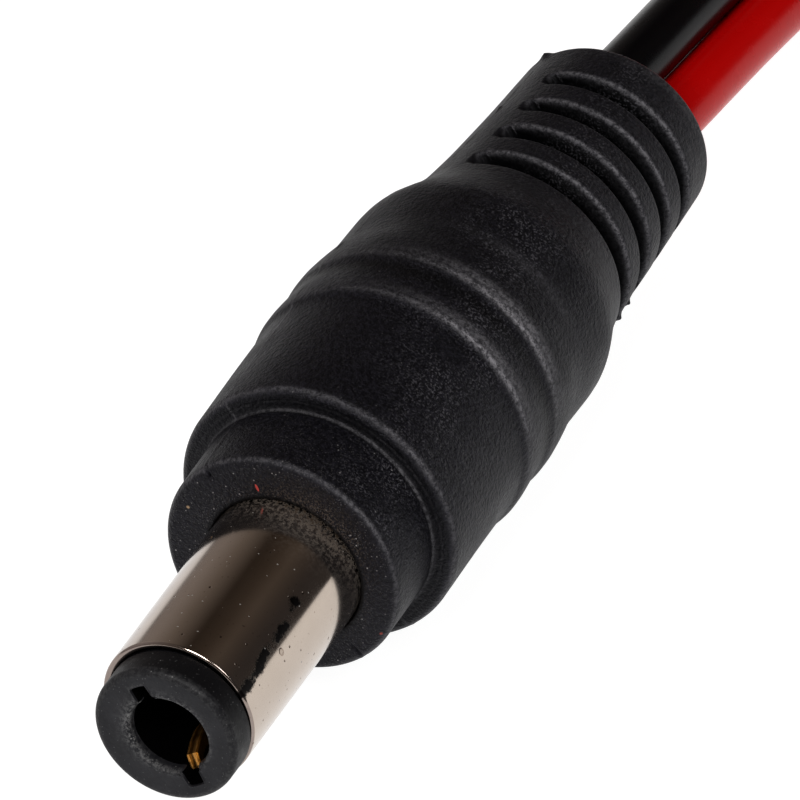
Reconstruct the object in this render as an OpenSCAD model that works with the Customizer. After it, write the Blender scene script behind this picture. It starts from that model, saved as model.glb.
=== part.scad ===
// DC barrel plug, 5.5 mm outside diameter, with a moulded strain relief and a
// red and black pigtail that is tied into a hank behind it.
// The plug's axis is X and the barrel points along +X. The origin is on that
// axis, in the flat front face of the moulding, where the barrel leaves it.
// All sizes are in millimetres.

/* [Barrel] */
// Outside diameter of the metal barrel
barrel_od = 5.5; // [5.4:0.05:5.6]
// Length of barrel that stands out of the moulding
barrel_out = 8.4; // [8.2:0.1:9.0]
// Wall thickness of the barrel
barrel_wall = 0.35; // [0.3:0.01:0.4]
// Diameter of the neck that the moulding grips behind the nose's face
neck_d = 5.1; // [5.0:0.05:5.15]
// Diameter of the collar that anchors the barrel in the moulding
collar_d = 6.6; // [6.4:0.1:6.8]

/* [Tip insulator] */
// Diameter of the ring in front of the barrel
tip_ring_d = 5.18; // [5.1:0.01:5.19]
// Length of the ring in front of the barrel
tip_ring_len = 1.3; // [1.1:0.05:1.5]
// Diameter of the hole that takes the centre pin
tip_bore_d = 2.84; // [2.6:0.01:2.9]
// Depth of that hole
tip_bore_depth = 8.95; // [8.75:0.05:9.0]
// Width of the two slots that hold the tines of the fork
fork_slot_w = 0.65; // [0.6:0.01:0.7]
// Distance across the two slots
fork_slot_span = 4.0; // [3.9:0.02:4.1]
// Angle of the fork's plane below the horizontal
fork_tilt = 57; // [55:1:59]

/* [Fork contact] */
// Thickness of the fork's sheet
fork_t = 0.5; // [0.45:0.01:0.55]
// Half the gap between the tines where they grip the pin
fork_grip = 0.9; // [0.85:0.01:1.0]

/* [Moulding] */
// Diameter of the nose
nose_d = 8.5; // [8.4:0.1:8.8]
// Length of the nose
nose_len = 2.95; // [2.85:0.05:3.05]
// Diameter of the grip in front of the ribs
grip_d = 10.06; // [10.0:0.02:10.2]
// Diameter over the ribs
rib_d = 10.4; // [10.36:0.01:10.44]
// Diameter behind the ribs
rear_d = 9.78; // [9.76:0.01:9.9]
// Angle of the mould's parting plane below the horizontal
parting_tilt = 47; // [45:1:49]

/* [Strain relief] */
// Distance from the nose to the end of the strain relief
relief_end = 26.6; // [26.4:0.05:26.7]
// Width of each flexing slot
relief_slot_w = 0.76; // [0.6:0.02:0.8]
// Half the thickness of the core that the slots leave
core_b = 1.65; // [1.55:0.01:1.75]

/* [Wires] */
// Outside diameter of each wire
wire_d = 2.2; // [2.1:0.05:2.2]
// Diameter of a stripped conductor
strand_d = 0.9; // [0.8:0.05:0.9]
// Length of the tinned end of each wire
tinned_len = 5; // [4:0.5:6]

/* [Hank] */
// Outside width of the hank at its end loops
hank_w = 19.4; // [19:0.1:19.8]
// Width of the hank where the tie squeezes it
waist_w = 8.8; // [8.8:0.1:9.2]
// Width of the tie's strip
tie_w = 3; // [2.5:0.1:3.5]
// Thickness of the tie's strip
tie_t = 0.5; // [0.4:0.05:0.6]

/* [Hidden] */
$fn = 72;

barrel_r = barrel_od / 2;
barrel_ri = barrel_r - barrel_wall;
barrel_back = -5.25;
neck_x = -0.1;
tip_x = barrel_out + tip_ring_len;
wire_r = wire_d / 2;
// the surface that the object lies on is as low as the ribs
floor_z = -rib_d / 2;
// the pieces behind the nose, from front to back
collar_x = [-4.6, -3.8];
tag_x = [-5.0, -4.6];
stem_back = -6.6;
premould_x = [-14.5, -3.8];
premould_d = 7.9;
solder_x = [-10.4, -7.0];
conductor_x = [-12, -7.4];
// the wires' centres in the strain relief, beside each other in the parting plane
red_yz = [0.75, -0.8];
black_yz = [-0.75, 0.8];

// slots of the strain relief, counted from the nose
slot_x = [-18.78, -20.7, -22.53, -24.34];
// half the width of each slot, from one web at the parting plane to the other
slot_half = [3.78, 3.68, 3.58, 3.5];

// the stretch of each wire from its solder joint to the hank
red_route = [[-12, 0.75, -0.8], [-19, 0.75, -0.8], [-26.5, 0.75, -0.8], [-30, 0.95, -1.2],
             [-34, 0.95, -1.8], [-38, 0.95, -2.5], [-42, 0.95, -3.3], [-45, 0.8, -3.9],
             [-47, 0.6, -4.1], [-48, 0.55, -4.1]];
black_route = [[-12, -0.75, 0.8], [-19, -0.75, 0.8], [-26.5, -0.75, 0.8], [-30, -0.6, 0.4],
               [-34, -0.6, -0.2], [-38, -0.65, -1.0], [-42, -0.95, -2.3], [-45, -1.35, -3.6],
               [-47, -1.6, -4.1], [-48, -1.65, -4.1]];
// the stretch of each wire from the hank to its stripped end
red_tail = [[-90, -1.1, 0.3], [-91.5, -1.1, 0.3], [-94.5, -1.35, -0.3], [-98, -2, -1.8]];
black_tail = [[-90, 1.1, 0.3], [-91.5, 1.1, 0.3], [-94.5, 1.3, -0.4], [-98, 1.8, -2]];

// the hank: its end loops' centres, its tie, its flat ends and its top
hank_near = -57.1;
hank_far = -80.9;
hank_x = [-90, -48];
tie_x = -69;
hank_top = floor_z + 3 * wire_d;

// ---- helpers ----

// points of a quarter round from angle a0 to a1 about c, radius r, in n steps
function arc(c, r, a0, a1, n) =
    [for (i = [0:n]) let (a = a0 + (a1 - a0) * i / n) [c[0] + r * cos(a), c[1] + r * sin(a)]];

// revolves a list of [x, radius] points about the X axis
module turned(points) {
    rotate([0, 90, 0]) rotate_extrude() polygon([for (p = points) [p[1], p[0]]]);
}

// a plain cylinder along X from x0 to x1, about the line through yz
module rod(x0, x1, r, yz = [0, 0]) {
    translate([x0, yz[0], yz[1]]) rotate([0, 90, 0]) cylinder(h = x1 - x0, r = r);
}

// turns things drawn with +Y as "outward" so that outward lies at an angle below +Y
module tilted(a) {
    rotate([-a, 0, 0]) children();
}

// a box given by its low and high corners
module block(low, high) {
    translate(low) cube(high - low);
}

function unit(v) = v / norm(v);

// direction of travel at point i of a route
function heading(p, i) = unit(p[min(i + 1, len(p) - 1)] - p[max(i - 1, 0)]);

// one ring of an eight-sided tube
function ring(p, i, r) =
    let (t = heading(p, i), s = unit(cross(t, [0, 0, 1])), u = cross(s, t))
    [for (k = [0:7]) p[i] + r * (cos(k * 45 + 22.5) * s + sin(k * 45 + 22.5) * u)];

// an eight-sided tube along a route
module tube(p, r) {
    n = len(p);
    polyhedron(
        points = [for (i = [0:n - 1]) each ring(p, i, r)],
        faces = concat(
            [[for (k = [0:7]) k]],
            [for (i = [0:n - 2], k = [0:7])
                [i * 8 + k, (i + 1) * 8 + k, (i + 1) * 8 + (k + 1) % 8, i * 8 + (k + 1) % 8]],
            [[for (k = [7:-1:0]) (n - 1) * 8 + k]]));
}

// ---- the moulding ----

function nose_profile() = concat(
    [[-nose_len + 0.1, 0]],
    [[0, 0]],
    arc([-0.32, nose_d / 2 - 0.32], 0.32, 0, 90, 5),
    [[-nose_len + 0.12, nose_d / 2]],
    arc([-nose_len + 0.12, nose_d / 2 + 0.12], 0.12, 270, 180, 3));

function grip_profile() = concat(
    arc([-nose_len - 0.36, grip_d / 2 - 0.36], 0.36, 0, 90, 6),
    [[-8.45, grip_d / 2]],
    // first rib: a steep front and a gentle back
    [[-8.6, grip_d / 2 + 0.02], [-8.75, grip_d / 2 + 0.08], [-8.92, rib_d / 2 - 0.02],
     [-9.1, rib_d / 2], [-9.35, rib_d / 2 - 0.01], [-9.75, rib_d / 2 - 0.04],
     [-10.2, rib_d / 2 - 0.09], [-10.45, rib_d / 2 - 0.115], [-10.65, rib_d / 2 - 0.12]],
    // second rib
    [[-10.88, rib_d / 2 - 0.09], [-11.05, rib_d / 2 - 0.05], [-11.3, rib_d / 2 - 0.03],
     [-11.65, rib_d / 2 - 0.03], [-12.2, rib_d / 2 - 0.08], [-12.8, rib_d / 2 - 0.17],
     [-13.35, rear_d / 2 + 0.03], [-13.9, rear_d / 2]]);

function shoulder_profile() =
    [[-15.3, rear_d / 2], [-15.65, 4.86], [-16.0, 4.80], [-16.5, 4.64], [-17.0, 4.44],
     [-17.5, 4.27], [-18.0, 4.15], [-18.4, 4.08]];

function relief_profile() = concat(
    [[-19.2, 3.99], [-20.5, 3.88], [-22, 3.80], [-23.5, 3.72], [-25, 3.65]],
    arc([-relief_end + 0.35, 3.23], 0.35, 90, 180, 4),
    [[-relief_end, 0]]);

// one flexing slot: two pockets round the oval core, which stop short of the parting plane
module relief_slot(x, half) {
    translate([x - relief_slot_w / 2, 0, 0]) tilted(parting_tilt) rotate([90, 0, 90])
        linear_extrude(height = relief_slot_w) difference() {
            square([2 * half, 12], center = true);
            polygon([for (a = [0:9:351]) [(half + 0.17) * cos(a), core_b * sin(a)]]);
        }
}

module overmould() {
    color([0.09, 0.09, 0.10]) difference() {
        turned(concat(nose_profile(), grip_profile(), shoulder_profile(), relief_profile()));
        rod(neck_x, 1, barrel_r);
        rod(-5, neck_x, neck_d / 2);
        turned([[premould_x[0], 0], [premould_x[0], premould_d / 2 - 0.4],
                [premould_x[0] + 0.4, premould_d / 2], [premould_x[1], premould_d / 2],
                [premould_x[1], 0]]);
        rod(-relief_end - 1, premould_x[0] + 1, wire_r, red_yz);
        rod(-relief_end - 1, premould_x[0] + 1, wire_r, black_yz);
        for (i = [0:len(slot_x) - 1]) relief_slot(slot_x[i], slot_half[i]);
    }
}

// the harder plastic moulded first, which holds the contacts and solder joints
module inner_mould() {
    color([0.88, 0.87, 0.80]) difference() {
        turned([[premould_x[0], 0], [premould_x[0], premould_d / 2 - 0.4],
                [premould_x[0] + 0.4, premould_d / 2], [premould_x[1], premould_d / 2],
                [premould_x[1], 0]]);
        rod(collar_x[0], 0, collar_d / 2);
        rod(tag_x[0], tag_x[1], 3.4);
        rod(barrel_back, tag_x[0], 2.95);
        rod(stem_back, tag_x[0], barrel_ri);
        tilted(fork_tilt) block([-10.5, -0.6, -fork_t / 2], [-5, 0.6, fork_t / 2]);
        tag_strip();
        solder_shape(red_solder(), 0.95);
        solder_shape(black_solder(), 0.65);
        for (yz = [red_yz, black_yz]) {
            rod(-15, conductor_x[1], strand_d / 2, yz);
            rod(-15, conductor_x[0], wire_r, yz);
        }
    }
}

// ---- the metal and plastic of the plug itself ----

module barrel_sleeve() {
    color([0.78, 0.75, 0.71]) turned(concat(
        [[barrel_back, barrel_ri]],
        [[barrel_out - 0.12, barrel_ri], [barrel_out - 0.03, barrel_ri + 0.04]],
        [[barrel_out, barrel_ri + 0.12]],
        arc([barrel_out - 0.14, barrel_r - 0.14], 0.14, 0, 90, 4),
        [[neck_x, barrel_r], [neck_x, neck_d / 2], [collar_x[1], neck_d / 2]],
        [[collar_x[1], collar_d / 2 - 0.1], [collar_x[1] - 0.1, collar_d / 2],
         [collar_x[0], collar_d / 2], [collar_x[0], barrel_r]],
        // the rim that is rolled over behind the tag
        [[tag_x[0], barrel_r], [tag_x[0], 2.95], [barrel_back, 2.85]]));
}

module tip_insulator() {
    color([0.10, 0.10, 0.11]) difference() {
        union() {
            // the ring and the stem
            turned(concat(
                [[stem_back, 0], [stem_back, barrel_ri], [barrel_out - 0.12, barrel_ri],
                 [barrel_out - 0.03, barrel_ri + 0.04], [barrel_out, barrel_ri + 0.12],
                 [barrel_out, tip_ring_d / 2 - 0.1], [barrel_out + 0.1, tip_ring_d / 2]],
                [[tip_x - 0.25, tip_ring_d / 2]],
                arc([tip_x - 0.25, tip_ring_d / 2 - 0.25], 0.25, 90, 0, 5),
                [[tip_x, 0]]));
        }
        // the hole for the centre pin, with its dished rim
        rod(tip_x - tip_bore_depth, tip_x + 1, tip_bore_d / 2);
        turned([[tip_x - 0.1, 0], [tip_x - 0.1, tip_bore_d / 2], [tip_x - 0.04, tip_bore_d / 2 + 0.05],
                [tip_x, tip_bore_d / 2 + 0.14], [tip_x + 1, tip_bore_d / 2 + 0.14], [tip_x + 1, 0]]);
        // the slots for the tines, and the narrower one for the tail
        tilted(fork_tilt) {
            block([-3.1, -fork_slot_span / 2, -fork_slot_w / 2],
                  [tip_x + 1, fork_slot_span / 2, fork_slot_w / 2]);
            block([stem_back - 1, -0.6, -fork_t / 2], [-3, 0.6, fork_t / 2]);
        }
    }
}

// one tine's outline and half the base, as [x, distance from the axis]
function tine() = [
    [-3.1, 0.6], [-3.1, 1.9], [0.4, 1.9], [3.0, 1.86], [5.5, 1.66], [7.4, 1.42], [8.0, 1.40],
    [8.7, 1.42], [9.15, 1.56], [9.38, 1.74], [9.47, 1.72], [9.5, 1.62], [9.42, 1.42],
    [9.3, 1.22], [8.7, fork_grip + 0.12], [8.15, fork_grip + 0.01], [7.9, fork_grip],
    [7.6, fork_grip + 0.02], [7.0, fork_grip + 0.08], [5.0, 1.12], [2.5, 1.22], [1.4, 1.12],
    [0.8, 0.8], [0.6, 0.4]];

module fork_contact() {
    half = tine();
    color([0.80, 0.62, 0.25]) tilted(fork_tilt) translate([0, 0, -fork_t / 2])
        linear_extrude(height = fork_t)
            polygon(concat(
                half,
                [for (i = [len(half) - 1:-1:0]) [half[i][0], -half[i][1]]],
                // the tail, narrowed on the side where the black joint lies
                [[-6.4, -0.6], [-6.7, -0.3], [-10.5, -0.3], [-10.5, 0.6]]));
}

// the strip of the tag, which steps in towards the black wire's conductor
module tag_strip() {
    tilted(parting_tilt) rotate([180, 0, 0]) translate([0, 0, -0.8])
        linear_extrude(height = 1.6)
            polygon([[-4.8, 2.9], [-4.8, 3.3], [-7.35, 3.3], [-7.35, 2.0], [-11.2, 2.0],
                     [-11.2, 1.6], [-6.95, 1.6], [-6.95, 2.9]]);
}

// the tag that takes the sleeve's current to the black wire
module sleeve_tag() {
    color([0.80, 0.78, 0.74]) union() {
        difference() {
            rod(tag_x[0], tag_x[1], 3.4);
            rod(tag_x[0] - 1, tag_x[1] + 1, barrel_r);
        }
        difference() {
            tag_strip();
            rod(tag_x[1], 0, 4);
            rod(barrel_back, 0, 2.95);
        }
    }
}

// ---- solder and conductors ----

// where a solder joint lies, as [y, z]
function red_solder() = [0.6 * cos(50), -0.6 * sin(50)];
function black_solder() = [-1.2 * cos(parting_tilt), 1.2 * sin(parting_tilt)];

module solder_shape(yz, r) {
    translate([0, yz[0], yz[1]]) turned([
        [solder_x[0], 0], [solder_x[0], r * 0.55], [solder_x[0] + 0.25, r * 0.85],
        [solder_x[0] + 0.7, r], [solder_x[1] - 0.7, r], [solder_x[1] - 0.25, r * 0.85],
        [solder_x[1], r * 0.55], [solder_x[1], 0]]);
}

// seven bundled strands
module conductor_shape(yz, x0, x1) {
    s = strand_d / 6;
    translate([x0, yz[0], yz[1]]) rotate([90, 0, 90]) linear_extrude(height = x1 - x0) {
        circle(r = s * 1.1);
        for (k = [0:5]) rotate(k * 60) translate([2 * s, 0]) circle(r = s * 1.04);
    }
}

module red_conductor() {
    color([0.72, 0.42, 0.25]) conductor_shape(red_yz, conductor_x[0], conductor_x[1]);
}

module black_conductor() {
    color([0.72, 0.42, 0.25]) conductor_shape(black_yz, conductor_x[0], conductor_x[1]);
}

module red_solder_joint() {
    color([0.70, 0.71, 0.72]) difference() {
        solder_shape(red_solder(), 0.95);
        tilted(fork_tilt) block([-10.5, -0.6, -fork_t / 2], [-5, 0.6, fork_t / 2]);
        conductor_shape(red_yz, -13, conductor_x[1]);
    }
}

module black_solder_joint() {
    color([0.70, 0.71, 0.72]) difference() {
        solder_shape(black_solder(), 0.65);
        tag_strip();
        conductor_shape(black_yz, -13, conductor_x[1]);
    }
}

// ---- the pigtail ----

module red_wire() {
    color([0.75, 0.02, 0.03]) {
        tube(red_route, wire_r);
        tube(red_tail, wire_r);
    }
}

module black_wire() {
    color([0.05, 0.05, 0.06]) {
        tube(black_route, wire_r);
        tube(black_tail, wire_r);
    }
}

// a strip bent round the hank's waist, with the corners rounded
module tie_band(grow, x0, x1) {
    a = waist_w / 2 + grow;
    low = floor_z + tie_t - grow;
    high = hank_top + grow;
    c = 0.9 + grow;
    translate([x0, 0, 0]) rotate([90, 0, 90]) linear_extrude(height = x1 - x0) polygon(concat(
        arc([a - c, high - c], c, 0, 90, 5), arc([-a + c, high - c], c, 90, 180, 5),
        arc([-a + c, low + c], c, 180, 270, 5), arc([a - c, low + c], c, 270, 360, 5)));
}

// the outer shape of both wires' turns: two end loops and a squeezed waist
module wire_hank() {
    color([0.30, 0.04, 0.05]) difference() {
        union() {
            intersection() {
                translate([0, 0, floor_z]) linear_extrude(height = 3 * wire_d) union() {
                    translate([hank_near, 0]) circle(d = hank_w);
                    translate([hank_far, 0]) circle(d = hank_w);
                }
                block([hank_x[0], -20, -20], [hank_x[1], 20, 20]);
                union() {
                    block([-200, -20, -20], [tie_x - 2.5, 20, 20]);
                    block([tie_x + 2.5, -20, -20], [0, 20, 20]);
                }
            }
            translate([0, 0, floor_z]) linear_extrude(height = 3 * wire_d)
                polygon([[tie_x - 6, -waist_w / 2 - 2.2], [tie_x - 2.5, -waist_w / 2 - 0.2],
                         [tie_x + 2.5, -waist_w / 2 - 0.2], [tie_x + 6, -waist_w / 2 - 2.2],
                         [tie_x + 6, waist_w / 2 + 2.2], [tie_x + 2.5, waist_w / 2 + 0.2],
                         [tie_x - 2.5, waist_w / 2 + 0.2], [tie_x - 6, waist_w / 2 + 2.2]]);
        }
        // the seat of the tie
        difference() {
            block([tie_x - tie_w / 2, -20, floor_z - 1], [tie_x + tie_w / 2, 20, 20]);
            tie_band(0, tie_x - 5, tie_x + 5);
        }
    }
}

module hank_tie() {
    color([0.93, 0.93, 0.91]) union() {
        difference() {
            tie_band(tie_t, tie_x - tie_w / 2, tie_x + tie_w / 2);
            tie_band(0, tie_x - 5, tie_x + 5);
        }
        // the twisted ends, laid over on the top
        translate([tie_x, 1, hank_top + tie_t + 0.35]) rotate([0, 90, 55])
            cylinder(h = 6, r = 0.75);
    }
}

// a stripped, twisted and tinned end, from the end of a tail along its heading
module tinned(tail) {
    h = heading(tail, 3);
    translate(tail[3]) rotate([0, acos(h[2]), atan2(h[1], h[0])]) rotate_extrude()
        polygon([[0, 0], [strand_d / 2, 0], [strand_d / 2, tinned_len - 0.3],
                 [strand_d / 2 - 0.15, tinned_len - 0.08], [strand_d / 2 - 0.3, tinned_len],
                 [0, tinned_len]]);
}

module red_tinned_end() {
    color([0.74, 0.75, 0.77]) tinned(red_tail);
}

module black_tinned_end() {
    color([0.74, 0.75, 0.77]) tinned(black_tail);
}

overmould();
inner_mould();
barrel_sleeve();
tip_insulator();
fork_contact();
sleeve_tag();
red_solder_joint();
black_solder_joint();
red_conductor();
black_conductor();
red_wire();
black_wire();
wire_hank();
hank_tie();
red_tinned_end();
black_tinned_end();
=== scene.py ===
import math

import bmesh
import bpy
import numpy as np
from mathutils import Matrix, Vector


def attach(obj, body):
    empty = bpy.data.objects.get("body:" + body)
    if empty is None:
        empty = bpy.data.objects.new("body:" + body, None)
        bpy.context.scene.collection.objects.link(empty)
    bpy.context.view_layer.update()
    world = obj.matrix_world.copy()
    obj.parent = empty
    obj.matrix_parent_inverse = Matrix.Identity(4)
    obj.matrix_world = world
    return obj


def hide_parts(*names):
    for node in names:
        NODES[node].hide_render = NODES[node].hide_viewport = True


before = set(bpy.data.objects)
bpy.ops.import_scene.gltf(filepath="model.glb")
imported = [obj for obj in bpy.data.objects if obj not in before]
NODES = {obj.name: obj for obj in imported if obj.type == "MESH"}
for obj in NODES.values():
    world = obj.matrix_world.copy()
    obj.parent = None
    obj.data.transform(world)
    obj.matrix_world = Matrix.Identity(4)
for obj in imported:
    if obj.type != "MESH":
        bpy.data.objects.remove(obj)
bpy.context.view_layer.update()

MM = 0.001
scene = bpy.context.scene

# ------------------------------------------------------------------ sizes, in mm, as in the CAD
BARREL_R, BARREL_RI, BARREL_OUT = 2.75, 2.40, 8.4
TIP_R, TIP_X = 2.59, 9.7
BORE_R, BORE_DEPTH = 1.42, 8.95
SLOT_W, SLOT_HALF = 0.65, 2.0
FORK_TILT, FORK_T, GRIP = math.radians(57), 0.5, 0.9
PARTING = math.radians(47)
NOSE_R, NOSE_LEN, GRIP_R = 4.25, 2.95, 5.03
RELIEF_END = 26.6
CORE_B = 1.65
# each flexing slot: its front wall, its rear wall, half its width between the webs
SLOTS = ((18.36, 19.22, 3.79), (20.33, 21.12, 3.68), (22.19, 22.9, 3.58), (24.02, 24.68, 3.5))
WIRE_D = 2.2
WIRE_R = WIRE_D / 2
FLOOR = -5.2
TIE_X, HANK_NEAR, HANK_FAR, LOOP_R = -69.0, -57.1, -80.9, 7.5
WAIST_HALF = 4.4

# ------------------------------------------------------------------ camera
def make_camera():
    back = Vector((0.720, 0.328, 0.611)).normalized()
    right = (-back).cross(Vector((0, 0, 1))).normalized()
    up = right.cross(-back).normalized()
    across = right * 0.8013 - up * 0.5983  # across the plug in the picture
    target = Vector((-9.79, 0, 0)) * MM - across * (0.275 * MM)
    cam = bpy.data.cameras.new("camera")
    cam.sensor_width = 36.0
    cam.lens = 1000.0
    dist = 26.85 * MM * cam.lens / cam.sensor_width
    cam.clip_start, cam.clip_end = 0.01, 50.0
    o = bpy.data.objects.new("camera", cam)
    o.matrix_world = Matrix((
        (right.x, up.x, back.x, target.x + back.x * dist),
        (right.y, up.y, back.y, target.y + back.y * dist),
        (right.z, up.z, back.z, target.z + back.z * dist),
        (0, 0, 0, 1)))
    scene.collection.objects.link(o)
    scene.camera = o
    return back, right, up


BACK, RIGHT, UP = make_camera()

# ------------------------------------------------------------------ small helpers
def link(o):
    scene.collection.objects.link(o)
    return o


def mesh_object(name, verts, faces, smooth=True):
    me = bpy.data.meshes.new(name)
    me.from_pydata([tuple(v) for v in verts], [], [tuple(int(i) for i in f) for f in faces])
    me.update()
    if smooth:
        me.polygons.foreach_set("use_smooth", [True] * len(me.polygons))
    return link(bpy.data.objects.new(name, me))


def loft(loops, closed=True, cap0=False, cap1=False):
    """Quads between successive loops of the same number of points."""
    n = len(loops[0])
    verts = np.concatenate(loops)
    faces = []
    m = n if closed else n - 1
    for k in range(len(loops) - 1):
        a, b = k * n, (k + 1) * n
        for i in range(m):
            j = (i + 1) % n
            faces.append((a + i, a + j, b + j, b + i))
    if cap0:
        faces.append(tuple(range(n - 1, -1, -1)))
    if cap1:
        faces.append(tuple(range((len(loops) - 1) * n, len(loops) * n)))
    return verts, faces


def attribute(o, name, values):
    a = o.data.attributes.new(name, "FLOAT", "POINT")
    a.data.foreach_set("value", np.asarray(values, np.float32))


def recalc(o):
    bm = bmesh.new()
    bm.from_mesh(o.data)
    bmesh.ops.recalc_face_normals(bm, faces=bm.faces)
    bm.to_mesh(o.data)
    bm.free()
    o.data.update()


def tidy(o, dist=1e-7):
    bm = bmesh.new()
    bm.from_mesh(o.data)
    bmesh.ops.remove_doubles(bm, verts=bm.verts, dist=dist)
    bmesh.ops.recalc_face_normals(bm, faces=bm.faces)
    bm.to_mesh(o.data)
    bm.free()
    o.data.update()


# ------------------------------------------------------------------ material helpers
class Mat:
    """A thin wrapper that makes a node tree readable."""

    def __init__(self, name):
        self.m = bpy.data.materials.new(name)
        self.m.use_nodes = True
        self.t = self.m.node_tree
        self.t.nodes.clear()
        self.out = self.t.nodes.new("ShaderNodeOutputMaterial")
        self.bsdf = self.t.nodes.new("ShaderNodeBsdfPrincipled")
        self.t.links.new(self.bsdf.outputs[0], self.out.inputs[0])
        self.coords = None

    def node(self, kind, **props):
        n = self.t.nodes.new(kind)
        for k, v in props.items():
            setattr(n, k, v)
        return n

    def to(self, a, b):
        self.t.links.new(a, b)

    def set(self, **values):
        for k, v in values.items():
            self.bsdf.inputs[k.replace("_", " ")].default_value = v

    def place(self):
        if self.coords is None:
            self.coords = self.node("ShaderNodeTexCoord")
        return self.coords.outputs["Object"]

    def scaled(self, x, y, z, rot=(0, 0, 0), loc=(0, 0, 0)):
        m = self.node("ShaderNodeMapping")
        m.inputs["Scale"].default_value = (x, y, z)
        m.inputs["Rotation"].default_value = rot
        m.inputs["Location"].default_value = loc
        self.to(self.place(), m.inputs["Vector"])
        return m.outputs[0]

    def noise(self, scale, detail=4.0, rough=0.55, vec=None, distortion=0.0):
        n = self.node("ShaderNodeTexNoise")
        n.inputs["Scale"].default_value = scale
        n.inputs["Detail"].default_value = detail
        n.inputs["Roughness"].default_value = rough
        n.inputs["Distortion"].default_value = distortion
        self.to(vec if vec is not None else self.place(), n.inputs["Vector"])
        return n.outputs["Fac"]

    def voronoi(self, scale, feature="F1", vec=None, out="Distance", randomness=1.0):
        n = self.node("ShaderNodeTexVoronoi", feature=feature)
        n.inputs["Scale"].default_value = scale
        n.inputs["Randomness"].default_value = randomness
        self.to(vec if vec is not None else self.place(), n.inputs["Vector"])
        return n.outputs[out]

    def ramp(self, fac, stops, mode="LINEAR"):
        n = self.node("ShaderNodeValToRGB")
        n.color_ramp.interpolation = mode
        e = n.color_ramp.elements
        while len(e) > len(stops):
            e.remove(e[-1])
        while len(e) < len(stops):
            e.new(0.5)
        for el, (p, c) in zip(e, stops):
            el.position = p
            el.color = (c, c, c, 1) if isinstance(c, (int, float)) else (*c, 1)
        self.to(fac, n.inputs[0])
        return n.outputs[0]

    def math(self, op, a, b=None, clamp=False):
        n = self.node("ShaderNodeMath", operation=op, use_clamp=clamp)
        for i, v in enumerate((a, b)):
            if v is None:
                continue
            if isinstance(v, (int, float)):
                n.inputs[i].default_value = v
            else:
                self.to(v, n.inputs[i])
        return n.outputs[0]

    def mix(self, fac, a, b):
        n = self.node("ShaderNodeMix", data_type="RGBA")
        for sock, v in ((n.inputs[0], fac), (n.inputs[6], a), (n.inputs[7], b)):
            if isinstance(v, (int, float)):
                sock.default_value = v
            elif isinstance(v, (tuple, list)):
                sock.default_value = (*v, 1) if len(v) == 3 else v
            else:
                self.to(v, sock)
        return n.outputs[2]

    def attr(self, name):
        n = self.node("ShaderNodeAttribute", attribute_name=name)
        return n.outputs["Fac"]

    def bump(self, height, strength, distance, normal=None):
        n = self.node("ShaderNodeBump")
        n.inputs["Strength"].default_value = strength
        n.inputs["Distance"].default_value = distance
        self.to(height, n.inputs["Height"])
        if normal is not None:
            self.to(normal, n.inputs["Normal"])
        return n.outputs[0]

    def color(self, v):
        self.to(v, self.bsdf.inputs["Base Color"])

    def rough(self, v):
        self.to(v, self.bsdf.inputs["Roughness"])

    def normal(self, v):
        self.to(v, self.bsdf.inputs["Normal"])


def assign(o, mat):
    o.data.materials.clear()
    o.data.materials.append(mat.m if isinstance(mat, Mat) else mat)


# ------------------------------------------------------------------ materials
def specks(m, scale, size, share, gate=None):
    """Tiny dots: each cell of a grid may hold one, inside patches."""
    cells = m.node("ShaderNodeTexVoronoi", feature="F1")
    cells.inputs["Scale"].default_value = scale
    m.to(m.place(), cells.inputs["Vector"])
    dot = m.ramp(cells.outputs["Distance"], [(0.0, 1.0), (size * 0.6, 1.0), (size, 0.0)])
    pick = m.node("ShaderNodeSeparateColor")
    m.to(cells.outputs["Color"], pick.inputs[0])
    chosen = m.ramp(pick.outputs[0], [(1 - share, 0.0), (min(1.0, 1 - share + 0.02), 1.0)])
    out = m.math("MULTIPLY", dot, chosen)
    if gate is not None:
        gate_scale, low, high = gate
        out = m.math("MULTIPLY", out, m.ramp(m.noise(gate_scale, 2.0, 0.6), [(low, 0.0), (high, 1.0)]))
    return out


def mark(m, at, size, turn=0.0):
    """One small mark on a face that looks along X: its centre, half its sizes, its turn, in mm."""
    n = m.node("ShaderNodeMapping", vector_type="TEXTURE")
    n.inputs["Location"].default_value = (0.0, at[0] * MM, at[1] * MM)
    n.inputs["Rotation"].default_value = (math.radians(turn), 0, 0)
    n.inputs["Scale"].default_value = (0.2 * MM, size[0] * MM, size[1] * MM)
    m.to(m.place(), n.inputs["Vector"])
    far = m.node("ShaderNodeVectorMath", operation="LENGTH")
    m.to(n.outputs[0], far.inputs[0])
    edge = m.math("ADD", far.outputs["Value"], m.math("MULTIPLY", m.noise(16000.0, 2.0, 0.6), 0.7))
    return m.ramp(m.math("MULTIPLY", edge, 0.5), [(0.58, 1.0), (0.70, 0.0)])


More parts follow.
